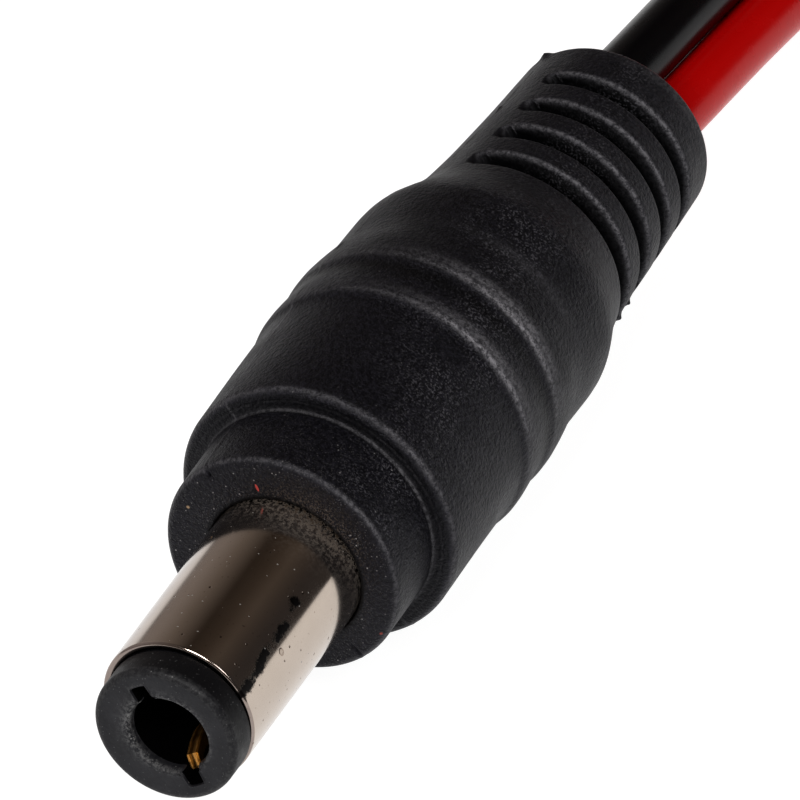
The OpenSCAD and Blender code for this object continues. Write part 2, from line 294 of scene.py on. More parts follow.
def mat_pvc(name="moulded_pvc"):
    """Black PVC: fine pebbly grain, scuffed where the mesh says so with a painted highlight on the scuffs, painted
    glints where it says so, and dusty where it says so.
    """
    m = Mat(name)
    wear_and_highlight, dust, grain, brown, painted_glint_band, shade = (m.attr(k) for k in ("wear_and_highlight", "dust", "grain", "brown", "painted_glint_band", "shade"))
    pebble = m.noise(6400.0, 1.0, 0.5)
    fine = m.noise(14000.0, 2.0, 0.6)
    broad = m.noise(520.0, 3.0, 0.65)
    small = specks(m, 14000.0, 0.36, 0.50, (800.0, 0.36, 0.60))
    large = specks(m, 4600.0, 0.16, 0.16, (1300.0, 0.42, 0.60))
    cloud = m.ramp(m.noise(11000.0, 3.0, 0.8), [(0.50, 0.0), (0.64, 1.0)])
    dusty = m.math("ADD", m.math("MULTIPLY", small, 0.22), m.math("MULTIPLY", large, 0.9), clamp=True)
    dusty = m.math("MULTIPLY", dusty, dust, clamp=True)
    # painted glints: pale dots in the colour, where the mesh's band says, standing in for highlights on the pebble tops
    painted_glints = m.math("MULTIPLY", m.ramp(m.noise(12500.0, 1.0, 0.5), [(0.53, 0.0), (0.68, 1.0)]),
                    m.ramp(m.noise(620.0, 3.0, 0.6), [(0.36, 0.15), (0.60, 1.0)]))
    painted_glints = m.math("MULTIPLY", painted_glints, painted_glint_band, clamp=True)
    scuff_and_highlight = m.ramp(m.noise(6800.0, 3.0, 0.8), [(0.42, 0.0), (0.56, 1.0)])
    worn_and_lit = m.math("MULTIPLY", wear_and_highlight, m.math("ADD", m.math("MULTIPLY", scuff_and_highlight, 0.75), 0.25), clamp=True)
    # the pebbly skin: hollows are blacker, tops a little greyer
    skin = m.math("ADD", m.math("MULTIPLY", pebble, 0.6), m.math("MULTIPLY", fine, 0.4))
    tops = m.math("MULTIPLY", m.ramp(skin, [(0.44, 0.0), (0.60, 1.0)]), grain)
    base = m.mix(broad, (0.0018, 0.0017, 0.0030), (0.0038, 0.0036, 0.0056))
    base = m.mix(tops, base, (0.0110, 0.0105, 0.0150))
    base = m.mix(shade, base, (0.0004, 0.0004, 0.0006))
    # scuffs with a painted highlight: pale grey along the crests and edges the mesh marks
    base = m.mix(worn_and_lit, base, (0.300, 0.295, 0.315))
    base = m.mix(painted_glints, base, (0.105, 0.103, 0.115))
    base = m.mix(m.math("MULTIPLY", cloud, brown, clamp=True), base, (0.070, 0.055, 0.044))
    base = m.mix(dusty, base, (0.26, 0.25, 0.25))
    for at, size, turn, colour in (((-0.995, 3.08), (0.16, 0.05), -63.0, (0.42, 0.06, 0.05)),
                                   ((-3.53, 1.46), (0.07, 0.06), 20.0, (0.30, 0.21, 0.13)),
                                   ((3.52, -1.61), (0.07, 0.05), 50.0, (0.20, 0.045, 0.035)),
                                   ((-2.75, 3.10), (0.17, 0.035), -64.0, (0.0004, 0.0004, 0.0005)),
                                   ((2.70, -2.64), (0.16, 0.028), -34.0, (0.0004, 0.0004, 0.0005))):
        base = m.mix(mark(m, at, size, turn), base, colour)
    m.color(base)
    r = m.ramp(broad, [(0.3, 0.42), (0.7, 0.54)])
    r = m.math("ADD", r, m.math("MULTIPLY", worn_and_lit, 0.12))
    m.rough(r)
    h = m.math("MULTIPLY", skin, grain)
    n = m.bump(h, 1.0, 0.00010)
    n = m.bump(m.noise(420.0, 2.0, 0.5), 0.30, 0.00005, n)
    m.normal(n)
    m.set(IOR=1.5, Specular_IOR_Level=0.21, Specular_Tint=(0.93, 0.92, 1.0, 1))
    return m


def mat_insulator():
    m = Mat("insulator_plastic")
    dust, wear_and_highlight, side = m.attr("dust"), m.attr("wear_and_highlight"), m.attr("side")
    fine = m.noise(9000.0, 3.0, 0.6)
    smear = m.ramp(m.noise(900.0, 4.0, 0.65), [(0.38, 0.0), (0.68, 1.0)])
    speck = m.math("ADD", specks(m, 5200.0, 0.17, 0.10), m.math("MULTIPLY", specks(m, 11000.0, 0.30, 0.20), 0.35), clamp=True)
    speck = m.math("MULTIPLY", speck, dust, clamp=True)
    base = m.mix(smear, (0.0105, 0.0105, 0.0130), (0.0190, 0.0190, 0.0225))
    # painted shade: the ring's outer side, turned from the light, is painted darker than its face
    base = m.mix(side, base, (0.0048, 0.0047, 0.0060))
    # wear and a painted highlight: rubbed marks by the hole, and a pale line along the face's fillet
    worn_and_lit = m.math("MULTIPLY", wear_and_highlight, m.ramp(m.noise(6500.0, 4.0, 0.78), [(0.44, 0.0), (0.58, 1.0)]), clamp=True)
    base = m.mix(worn_and_lit, base, (0.20, 0.20, 0.20))
    base = m.mix(speck, base, (0.22, 0.22, 0.22))
    m.color(base)
    m.rough(m.ramp(m.noise(2600.0, 3.0, 0.6), [(0.3, 0.42), (0.7, 0.56)]))
    m.normal(m.bump(m.math("ADD", fine, worn_and_lit), 0.6, 0.000022))
    m.set(IOR=1.5, Specular_IOR_Level=0.25)
    return m


def mat_bore():
    """The insulator down inside its hole: dull, and painted near-black with almost no reflection, blacker than its
    face, as painted shadow.
    """
    m = Mat("insulator_bore_painted_shadow")
    m.color(m.mix(m.noise(3000.0, 4.0, 0.6), (0.0004, 0.0004, 0.0005), (0.0010, 0.0010, 0.0012)))
    m.rough(m.ramp(m.noise(5200.0, 3.0, 0.6), [(0.3, 0.80), (0.7, 0.95)]))
    m.normal(m.bump(m.noise(7000.0, 3.0, 0.6), 0.4, 0.00002))
    m.set(IOR=1.5, Specular_IOR_Level=0.02)
    return m


def mat_nickel():
    """Nickel plate: mirror-like, with pits, dust and a dull stain along one side."""
    m = Mat("nickel_plate")
    dirt, foot, tarnish = m.attr("dirt"), m.attr("foot"), m.attr("tarnish")
    cloud = m.noise(420.0, 4.0, 0.6)
    stain = m.ramp(m.math("ADD", m.noise(1500.0, 6.0, 0.82), m.math("MULTIPLY", dirt, 0.40)), [(0.64, 0.0), (0.74, 1.0)])
    stain = m.math("MULTIPLY", stain, m.ramp(dirt, [(0.10, 0.0), (0.35, 1.0)]))
    cells = m.node("ShaderNodeTexVoronoi", feature="F1")
    cells.inputs["Scale"].default_value = 620.0
    m.to(m.place(), cells.inputs["Vector"])
    rings = m.ramp(cells.outputs["Distance"], [(0.0, 0.35), (0.045, 0.55), (0.060, 1.0), (0.078, 1.0), (0.095, 0.0)])
    pick = m.node("ShaderNodeSeparateColor")
    m.to(cells.outputs["Color"], pick.inputs[0])
    rings = m.math("MULTIPLY", rings, m.ramp(pick.outputs[1], [(0.30, 0.0), (0.32, 1.0)]))
    pits = specks(m, 1900.0, 0.11, 0.60)
    tiny = specks(m, 5200.0, 0.20, 0.55, (1100.0, 0.40, 0.58))
    light = specks(m, 3900.0, 0.14, 0.24)
    crumbs = m.math("MULTIPLY", m.ramp(m.noise(7000.0, 3.0, 0.75), [(0.46, 0.0), (0.58, 1.0)]), foot, clamp=True)
    base = m.mix(cloud, (0.50, 0.430, 0.365), (0.59, 0.518, 0.455))
    base = m.mix(m.math("MULTIPLY", tarnish, m.ramp(m.noise(1500.0, 5.0, 0.7), [(0.3, 0.75), (0.7, 1.0)])), base, (0.26, 0.215, 0.200))
    base = m.mix(m.math("MULTIPLY", rings, 0.5), base, (0.20, 0.14, 0.10))
    base = m.mix(m.math("MULTIPLY", pits, 0.75), base, (0.13, 0.085, 0.055))
    base = m.mix(m.math("MULTIPLY", tiny, 0.45), base, (0.22, 0.16, 0.12))
    base = m.mix(stain, base, (0.012, 0.010, 0.010))
    base = m.mix(light, base, (0.30, 0.29, 0.28))
    base = m.mix(crumbs, base, (0.075, 0.055, 0.040))
    m.color(base)
    r = m.ramp(m.noise(800.0, 4.0, 0.6), [(0.3, 0.10), (0.7, 0.16)])
    r = m.math("ADD", r, m.math("MULTIPLY", stain, 0.25), clamp=True)
    m.rough(r)
    dull = m.math("ADD", m.math("MULTIPLY", light, 0.9), m.math("MULTIPLY", crumbs, 0.7), clamp=True)
    m.to(m.math("SUBTRACT", 1.0, dull), m.bsdf.inputs["Metallic"])
    h = m.math("SUBTRACT", m.math("MULTIPLY", rings, 0.5), pits)
    m.normal(m.bump(h, 0.5, 0.00002))
    return m


def mat_metal(name, c0, c1, rough0, rough1, scale=2500.0, bump=0.000004):
    m = Mat(name)
    m.set(Metallic=1.0)
    n = m.noise(scale, 5.0, 0.6)
    m.color(m.mix(n, c0, c1))
    m.rough(m.ramp(m.noise(scale * 0.6, 4.0, 0.6), [(0.3, rough0), (0.7, rough1)]))
    m.normal(m.bump(m.noise(scale * 2.5, 3.0, 0.6), 0.4, bump))
    return m


def mat_bronze():
    m = Mat("phosphor_bronze")
    m.set(Metallic=1.0)
    lines = m.node("ShaderNodeTexWave", wave_type="BANDS", bands_direction="Z")
    lines.inputs["Scale"].default_value = 1050.0
    lines.inputs["Distortion"].default_value = 1.2
    lines.inputs["Detail"].default_value = 2.0
    lines.inputs["Detail Scale"].default_value = 2.0
    # the sheet's own frame: its thickness runs along Z once the tilt is undone
    m.to(m.scaled(1, 1, 1, rot=(FORK_TILT, 0, 0)), lines.inputs["Vector"])
    n = m.noise(2600.0, 4.0, 0.6)
    base = m.mix(n, (0.64, 0.31, 0.075), (0.82, 0.47, 0.15))
    base = m.mix(m.ramp(lines.outputs["Fac"], [(0.35, 1.0), (0.6, 0.0)]), base, (0.30, 0.13, 0.02))
    m.color(base)
    m.rough(m.ramp(n, [(0.3, 0.30), (0.7, 0.46)]))
    m.normal(m.bump(lines.outputs["Fac"], 0.8, 0.00004))
    return m


def mat_wire(name, c0, c1, rough=0.16, shine=0.3):
    m = Mat(name)
    n = m.noise(260.0, 4.0, 0.6)
    m.color(m.mix(n, c0, c1))
    m.rough(m.ramp(m.noise(600.0, 4.0, 0.6), [(0.3, rough - 0.03), (0.7, rough + 0.06)]))
    b = m.bump(m.noise(240.0, 2.0, 0.5), 0.12, 0.00005)
    b = m.bump(m.noise(5200.0, 3.0, 0.6), 0.12, 0.000006, b)
    m.normal(b)
    m.set(IOR=1.5, Specular_IOR_Level=shine)
    return m


def mat_plain(name, c0, c1, rough0, rough1, scale=900.0, bump=0.00001):
    m = Mat(name)
    m.color(m.mix(m.noise(scale, 5.0, 0.6), c0, c1))
    m.rough(m.ramp(m.noise(scale * 1.7, 4.0, 0.6), [(0.3, rough0), (0.7, rough1)]))
    m.normal(m.bump(m.noise(scale * 4, 4.0, 0.6), 0.35, bump))
    return m


PVC = mat_pvc()
INSULATOR = mat_insulator()
BORE = mat_bore()
NICKEL = mat_nickel()
BRONZE = mat_bronze()
TINNED = mat_metal("tinned_copper", (0.60, 0.60, 0.62), (0.78, 0.78, 0.79), 0.22, 0.38)
COPPER = mat_metal("bare_copper", (0.62, 0.26, 0.13), (0.80, 0.40, 0.22), 0.25, 0.40)
SOLDER = mat_metal("solder", (0.55, 0.56, 0.58), (0.72, 0.73, 0.75), 0.25, 0.45)
TAG = mat_metal("tag_plate", (0.66, 0.62, 0.55), (0.78, 0.74, 0.68), 0.25, 0.4)
RED_PVC = mat_wire("red_wire_pvc", (0.50, 0.0002, 0.0004), (0.58, 0.0004, 0.0008), 0.24, 0.16)
BLACK_PVC = mat_wire("black_wire_pvc", (0.0012, 0.0010, 0.0018), (0.0022, 0.0020, 0.0030), 0.24, 0.15)
TIE_PLASTIC = mat_plain("tie_plastic", (0.62, 0.62, 0.60), (0.74, 0.74, 0.72), 0.35, 0.5)
NATURAL_PE = mat_plain("natural_pe", (0.62, 0.60, 0.52), (0.70, 0.68, 0.60), 0.35, 0.5)

# ------------------------------------------------------------------ the wires, in mm
RED_ROUTE = [(-12, 0.75, -0.8), (-19, 0.75, -0.8), (-26.5, 0.8, -0.83), (-30, 0.95, -1.2),
             (-34, 0.95, -1.8), (-38, 0.95, -2.5), (-42, 0.95, -3.3), (-45, 0.8, -3.9),
             (-47, 0.6, -4.1), (-48, 0.55, -4.1)]
BLACK_ROUTE = [(-12, -0.75, 0.8), (-19, -0.75, 0.8), (-26.5, -0.7, 0.77), (-30, -0.6, 0.4),
               (-34, -0.6, -0.2), (-38, -0.65, -1.0), (-42, -0.95, -2.3), (-45, -1.35, -3.6),
               (-47, -1.6, -4.1), (-48, -1.65, -4.1)]
RED_TAIL = [(-90, -1.1, 0.3), (-91.5, -1.1, 0.3), (-94.5, -1.35, -0.3), (-98, -2, -1.8)]
BLACK_TAIL = [(-90, 1.1, 0.3), (-91.5, 1.1, 0.3), (-94.5, 1.3, -0.4), (-98, 1.8, -2)]


def even(points, step):
    points = np.asarray(points, float)
    along = np.concatenate([[0], np.cumsum(np.linalg.norm(np.diff(points, axis=0), axis=1))])
    at = np.linspace(0, along[-1], max(2, int(round(along[-1] / step)) + 1))
    return np.stack([np.interp(at, along, points[:, k]) for k in range(3)], 1)


def through(points, per=12):
    """A Catmull-Rom curve through the points."""
    p = [np.asarray(q, float) for q in points]
    p = [2 * p[0] - p[1], *p, 2 * p[-1] - p[-2]]
    out = []
    for i in range(1, len(p) - 2):
        a, b, c, d = p[i - 1:i + 3]
        ta = max(np.linalg.norm(b - a) ** 0.5, 1e-6)
        tb = max(np.linalg.norm(c - b) ** 0.5, 1e-6)
        tc = max(np.linalg.norm(d - c) ** 0.5, 1e-6)
        m1 = (c - b) - tb * ((c - a) / (ta + tb) - (b - a) / ta)
        m2 = (c - b) + tb * ((d - c) / tc - (d - b) / (tb + tc))
        for t in np.linspace(0, 1, per, endpoint=False):
            out.append((2 * t**3 - 3 * t**2 + 1) * b + (t**3 - 2 * t**2 + t) * m1
                       + (-2 * t**3 + 3 * t**2) * c + (t**3 - t**2) * m2)
    out.append(p[-2])
    return np.array(out)


def arc_points(c, r, a0, a1, n):
    a = np.radians(np.linspace(a0, a1, n))
    return np.stack([c[0] + r * np.cos(a), c[1] + r * np.sin(a)], 1)


def shift_points(p, q, n=24):
    t = np.linspace(0, 1, n)
    s = t**3 * (t * (6 * t - 15) + 10) * 0.35 + (3 * t * t - 2 * t**3) * 0.65
    return np.stack([p[0] + (q[0] - p[0]) * t, p[1] + (q[1] - p[1]) * s], 1)


def hank_guess():
    """Both wires side by side through the hank: two and a half turns, swapping sides once."""
    z1, z2, z3 = -4.1, -1.9, 0.3
    h, r, n, f, t = 2.2, LOOP_R, HANK_NEAR, HANK_FAR, TIE_X
    legs = [
        (shift_points((-48.0, -0.55), (t + 1.2, -h), 30), z1, 0),
        ([(t + 1.2, -h), (t - 1.2, -h)], z1, 0),
        (shift_points((t - 1.2, -h), (f, -r)), z1, 0),
        (arc_points((f, 0), r, 270, 90, 40), z1, 0),
        (shift_points((f, r), (t - 1.2, h)), z1, 0),
        ([(t - 1.2, h), (t + 1.2, h)], z1, 0),
        (shift_points((t + 1.2, h), (n, r)), z1, 35),
        (arc_points((n, 0), r, 90, 20, 16), z2 + 0.15, 120),
        (arc_points((n, 0), r, 20, -30, 12), z2 + 0.15, 180),
        (arc_points((n, 0), r, -30, -90, 14), z1 + 0.6, 180),
        (shift_points((n, -r), (t + 1.2, -h)), z2, 180),
        ([(t + 1.2, -h), (t - 1.2, -h)], z2, 180),
        (shift_points((t - 1.2, -h), (f, -r)), z2, 180),
        (arc_points((f, 0), r, 270, 90, 40), z2, 180),
        (shift_points((f, r), (t - 1.2, h)), z2, 180),
        ([(t - 1.2, h), (t + 1.2, h)], z2, 180),
        (shift_points((t + 1.2, h), (n, r)), z2, 180),
        (arc_points((n, 0), r, 90, 20, 16), z3 + 0.1, 180),
        (arc_points((n, 0), r, 20, -30, 12), z3 + 0.1, 180),
        (arc_points((n, 0), r, -30, -90, 14), z2 + 0.5, 180),
        (shift_points((n, -r), (t + 1.2, 0)), z3, 180),
        ([(t + 1.2, 0), (t - 1.2, 0)], z3, 180),
        ([(t - 1.2, 0), (-90, 0)], z3, 180)]
    plan, keys, long = [np.asarray(legs[0][0][0], float)], [(0.0, z1, 0.0)], 0.0
    for pts, z, roll in legs:
        for p in np.asarray(pts, float)[1:]:
            long += float(np.linalg.norm(p - plan[-1]))
            plan.append(p)
        keys.append((long, z, roll))
    plan, keys = np.array(plan), np.array(keys)
    along = np.concatenate([[0], np.cumsum(np.linalg.norm(np.diff(plan, axis=0), axis=1))])
    count = int(round(along[-1])) + 1
    at = np.linspace(0, along[-1], count)
    x, y = np.interp(at, along, plan[:, 0]), np.interp(at, along, plan[:, 1])
    for _ in range(6):
        x[1:-1] = (x[:-2] + 2 * x[1:-1] + x[2:]) / 4
        y[1:-1] = (y[:-2] + 2 * y[1:-1] + y[2:]) / 4
    i = np.clip(np.searchsorted(keys[:, 0], at) - 1, 0, len(keys) - 2)
    s = np.clip((at - keys[i, 0]) / np.maximum(keys[i + 1, 0] - keys[i, 0], 1e-9), 0, 1)
    s = s * s * (3 - 2 * s)
    z = keys[i, 1] * (1 - s) + keys[i + 1, 1] * s
    roll = np.radians(keys[i, 2] * (1 - s) + keys[i + 1, 2] * s)
    c = np.stack([x, y, z], 1)
    d = np.gradient(c, axis=0)
    d[:, 2] = 0
    d /= np.linalg.norm(d, axis=1)[:, None]
    side = np.stack([-d[:, 1], d[:, 0], 0 * d[:, 0]], 1)
    off = np.cos(roll)[:, None] * side + np.sin(roll)[:, None] * np.array([0, 0, 1.0])
    return c - WIRE_R * off, c + WIRE_R * off


def settle(red, black, rounds=260):
    """Lays the guessed turns beside and on each other, a diameter apart, on the floor and in the tie."""
    n = len(red)
    p = np.concatenate([red, black]).astype(float)
    start = p.copy()
    wire, idx = np.repeat([0, 1], n), np.tile(np.arange(n), 2)
    near_self = (wire[:, None] == wire[None, :]) & (np.abs(idx[:, None] - idx[None, :]) < 6)
    pin = (idx < 3) | (idx > n - 4)
    for k in range(rounds):
        for w in (0, 1):
            s = slice(w * n, w * n + n)
            q = p[s]
            for _ in range(2):
                lap = np.zeros_like(q)
                lap[1:-1] = (q[:-2] + q[2:]) / 2 - q[1:-1]
                bend = np.zeros_like(q)
                bend[1:-1] = (lap[:-2] + lap[2:]) / 2 - lap[1:-1]
                if k < rounds - 10:
                    q = q - 0.5 * bend
            along = np.concatenate([[0], np.cumsum(np.linalg.norm(np.diff(q, axis=0), axis=1))])
            at = np.linspace(0, along[-1], n)
            p[s] = np.stack([np.interp(at, along, q[:, j]) for j in range(3)], 1)
        if k < rounds * 0.7:
            p[:, 2] -= 0.004
        for _ in range(2):
            d = p[:, None, :] - p[None, :, :]
            dist = np.sqrt((d * d).sum(2)) + 1e-9
            hit = (dist < WIRE_D) & ~near_self
            push = np.where(hit, (WIRE_D - dist) / 2 * 0.6 / dist, 0.0)
            move = (push[:, :, None] * d).sum(1)
            p += move / np.maximum(1, hit.sum(1) * 0.6)[:, None]
            low = FLOOR + WIRE_R + 0.45 * np.exp(-(((p[:, 0] - TIE_X) / 3.0) ** 4))
            p[:, 2] = np.maximum(p[:, 2], low)
            near = np.abs(p[:, 0] - TIE_X) < 2.2
            p[near, 1] = np.clip(p[near, 1], -WAIST_HALF + WIRE_R, WAIST_HALF - WIRE_R)
            p[near, 2] = np.minimum(p[near, 2], 1.4 - WIRE_R + 0.1)
            p[pin] = start[pin]
    return p[:n], p[n:]


def cord_curve(name, points, mat):
    c = bpy.data.curves.new(name, "CURVE")
    c.dimensions = "3D"
    c.bevel_depth = WIRE_R * MM
    c.bevel_resolution = 14
    c.use_fill_caps = True
    s = c.splines.new("POLY")
    s.points.add(len(points) - 1)
    for q, v in zip(s.points, points):
        q.co = (v[0] * MM, v[1] * MM, v[2] * MM, 1)
    s.use_smooth = True
    c.materials.append(mat.m)
    return link(bpy.data.objects.new(name, c))


def full_path(route, middle, tail):
    lead = even(through(route), 0.8)
    end = even(through(tail), 0.8)
    p = np.concatenate([lead[:-1], middle, end[1:]])
    p = even(p, 0.8)
    keep = p.copy()
    for _ in range(3):
        p[1:-1] = (p[:-2] + 2 * p[1:-1] + p[2:]) / 4
    inside = keep[:, 0] > -26
    p[inside] = keep[inside]
    return p


red_mid, black_mid = settle(*hank_guess())
RED_PATH = full_path(RED_ROUTE, red_mid, RED_TAIL)
BLACK_PATH = full_path(BLACK_ROUTE, black_mid, BLACK_TAIL)
red_cord = cord_curve("red_wire_cord", RED_PATH, RED_PVC)
black_cord = cord_curve("black_wire_cord", BLACK_PATH, BLACK_PVC)


def path_length(p):
    return float(np.linalg.norm(np.diff(p, axis=0), axis=1).sum()) * MM


# ------------------------------------------------------------------ stripped ends
def tinned_end(name, path, length=5.0, r=0.42):
    """Twisted, tinned strands that stand out of a wire's end."""
    at = path[-1]
    d = path[-1] - path[-6]
    d /= np.linalg.norm(d)
    s = np.cross(d, [0, 0, 1.0])
    s /= np.linalg.norm(s)
    u = np.cross(s, d)
    loops = []
    zs = np.concatenate([np.linspace(-0.6, length - 0.3, 44), [length - 0.2, length - 0.1, length - 0.03, length]])
    th = np.linspace(0, 2 * math.pi, 42, endpoint=False)
    for z in zs:
        shrink = 1.0 if z < length - 0.3 else math.sqrt(max(0.0, 1 - ((z - length + 0.3) / 0.32) ** 2))
        rr = (r - 0.055 * (0.5 - 0.5 * np.cos(7 * th + z * 2.4)) ** 1.6) * shrink
        wob = 0.05 * math.sin(z * 1.7)
        loops.append(at + z * d + (rr * np.cos(th) + wob)[:, None] * s + (rr * np.sin(th))[:, None] * u)
    v, f = loft(loops, cap0=True, cap1=True)
    o = mesh_object(name, v * MM, f)
    recalc(o)
    assign(o, TINNED)
    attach(o, "root")
    return o


red_tip = tinned_end("red_tinned_strands", RED_PATH)
black_tip = tinned_end("black_tinned_strands", BLACK_PATH)
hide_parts("red_tinned_end")
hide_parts("black_tinned_end")

# ------------------------------------------------------------------ the tie
def tie_mesh():
    a, low, high, c = WAIST_HALF + 0.03, FLOOR + 0.47, 1.48, 0.95
    corners = []
    for cy, cz, a0 in ((a - c, high - c, 0), (-a + c, high - c, 90), (-a + c, low + c, 180), (a - c, low + c, 270)):
        for k in range(9):
            t = math.radians(a0 + 90 * k / 8)
            corners.append((cy + c * math.cos(t), cz + c * math.sin(t)))
    path = []
    n = len(corners)
    for i in range(n):
        p, q = np.array(corners[i]), np.array(corners[(i + 1) % n])
        steps = max(1, int(np.linalg.norm(q - p) / 0.5))
        for k in range(steps):
            path.append(p + (q - p) * k / steps)
    path = np.array(path)
    m = len(path)
    # the strip's outward direction at each point of its path
    tang = np.roll(path, -1, 0) - np.roll(path, 1, 0)
    tang /= np.linalg.norm(tang, axis=1)[:, None]
    out = np.stack([tang[:, 1], -tang[:, 0]], 1)
    # cross-section: [along X, outward], a flat strip with a wire core ridge
    w, t = 1.5, 0.32
    sec = [(-w, 0.04), (-w + 0.03, 0.16), (-w + 0.14, 0.22), (-0.55, 0.23), (-0.36, 0.27), (-0.18, 0.40),
           (0.0, 0.44), (0.18, 0.40), (0.36, 0.27), (0.55, 0.23), (w - 0.14, 0.22), (w - 0.03, 0.16), (w, 0.04),
           (w - 0.03, 0.0), (0.3, 0.0), (-0.3, 0.0), (-w + 0.03, 0.0)]
    verts, faces = [], []
    for k in range(m):
        y, z = path[k]
        wav = 0.10 * math.sin(k * 0.37) + 0.05 * math.sin(k * 0.91 + 1)
        for sx, so in sec:
            verts.append((TIE_X + sx + wav, y + out[k][0] * so, z + out[k][1] * so))
    ns = len(sec)
    for k in range(m):
        a0, b0 = k * ns, ((k + 1) % m) * ns
        for i in range(ns):
            j = (i + 1) % ns
            faces.append((a0 + i, a0 + j, b0 + j, b0 + i))
    # the two ends twisted round each other and laid over
    base = np.array([TIE_X + 0.2, 1.2, 1.78])
    d = np.array([-0.52, 0.83, 0.06])
    d /= np.linalg.norm(d)
    s = np.cross(d, [0, 0, 1.0])
    s /= np.linalg.norm(s)
    u = np.cross(s, d)
    for ph in (0, math.pi):
        loops = []
        for z in np.linspace(-0.4, 6.2, 60):
            ang = ph + z * 2.9
            spread = 0.42 if z < 5.0 else 0.42 + 0.35 * (z - 5.0)
            lift = 0.50 * min(1, max(0, (z + 0.4) / 1.2))
            ctr = base + z * d + spread * (math.cos(ang) * s + 0.9 * math.sin(ang) * u) + np.array([0, 0, lift])
            nx = math.cos(ang) * s + math.sin(ang) * u
            ny = -math.sin(ang) * s + math.cos(ang) * u
            ring = []
            for q in np.linspace(0, 2 * math.pi, 16, endpoint=False):
                ring.append(ctr + 0.16 * math.cos(q) * nx + 0.62 * math.sin(q) * ny)
            loops.append(np.array(ring))
        v, f = loft(loops, cap0=True, cap1=True)
        k0 = len(verts)
        verts += [tuple(q) for q in v]
        faces += [tuple(i + k0 for i in g) for g in f]
    o = mesh_object("twist_tie", np.array(verts) * MM, faces)
    recalc(o)
    assign(o, TIE_PLASTIC)
    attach(o, "root")
    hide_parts("hank_tie")
    return o


tie = tie_mesh()
for o, s in ((red_cord, "red_wire_pvc"), (black_cord, "black_wire_pvc")):
    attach(o, "root")
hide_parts("red_wire", "wire_hank")
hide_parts("black_wire")
print("CORDS", round(path_length(RED_PATH), 4), round(path_length(BLACK_PATH), 4))

# ------------------------------------------------------------------ the moulding
def pchip(xs, ys, at):
    """A smooth curve through points that never overshoots them."""
    xs, ys, at = (np.asarray(v, float) for v in (xs, ys, at))
    h, d = np.diff(xs), np.diff(ys) / np.diff(xs)
    m = np.zeros_like(ys)
    for i in range(1, len(xs) - 1):
        if d[i - 1] * d[i] > 0:
            w1, w2 = 2 * h[i] + h[i - 1], h[i] + 2 * h[i - 1]
            m[i] = (w1 + w2) / (w1 / d[i - 1] + w2 / d[i])
    m[0], m[-1] = d[0], d[-1]
    i = np.clip(np.searchsorted(xs, at, side="right") - 1, 0, len(xs) - 2)
    t = (at - xs[i]) / h[i]
    return ((2 * t**3 - 3 * t**2 + 1) * ys[i] + (t**3 - 2 * t**2 + t) * h[i] * m[i]
            + (-2 * t**3 + 3 * t**2) * ys[i + 1] + (t**3 - t**2) * h[i] * m[i + 1])


# depth behind the nose's face, radius
BODY_CURVE = [(3.3, 5.03), (5.5, 5.03), (8.35, 5.032), (8.5, 5.04), (8.65, 5.08), (8.82, 5.14), (9.0, 5.168),
              (9.2, 5.168), (9.6, 5.145), (10.1, 5.095), (10.4, 5.06), (10.62, 5.05), (10.82, 5.075),
              (11.0, 5.12), (11.2, 5.142), (11.5, 5.142), (12.0, 5.10), (12.6, 5.02), (13.2, 4.93),
              (13.8, 4.895), (15.2, 4.89), (15.65, 4.865), (16.0, 4.80), (16.5, 4.64), (17.0, 4.45),
              (17.5, 4.28), (18.0, 4.15), (18.36, 4.085), (19.2, 3.99), (20.5, 3.88), (22.0, 3.80),
              (23.5, 3.72), (25.0, 3.655), (26.25, 3.60)]
# how far the soft moulding strays from the barrel's axis, across the view: [x, offset]
STRAY = [(0, -0.17), (3, -0.20), (7, -0.25), (10, -0.245), (13, -0.185), (15.5, -0.12), (17.5, -0.05),
         (20, 0.01), (23, 0.08), (26.6, 0.12)]
STRAY_WAY = np.array([0, 0.881, -0.473])


def stray(x):
    xs, ys = [a for a, _ in STRAY], [b for _, b in STRAY]
    return float(pchip(xs, ys, [min(max(-x, 0.0), 26.6)])[0])


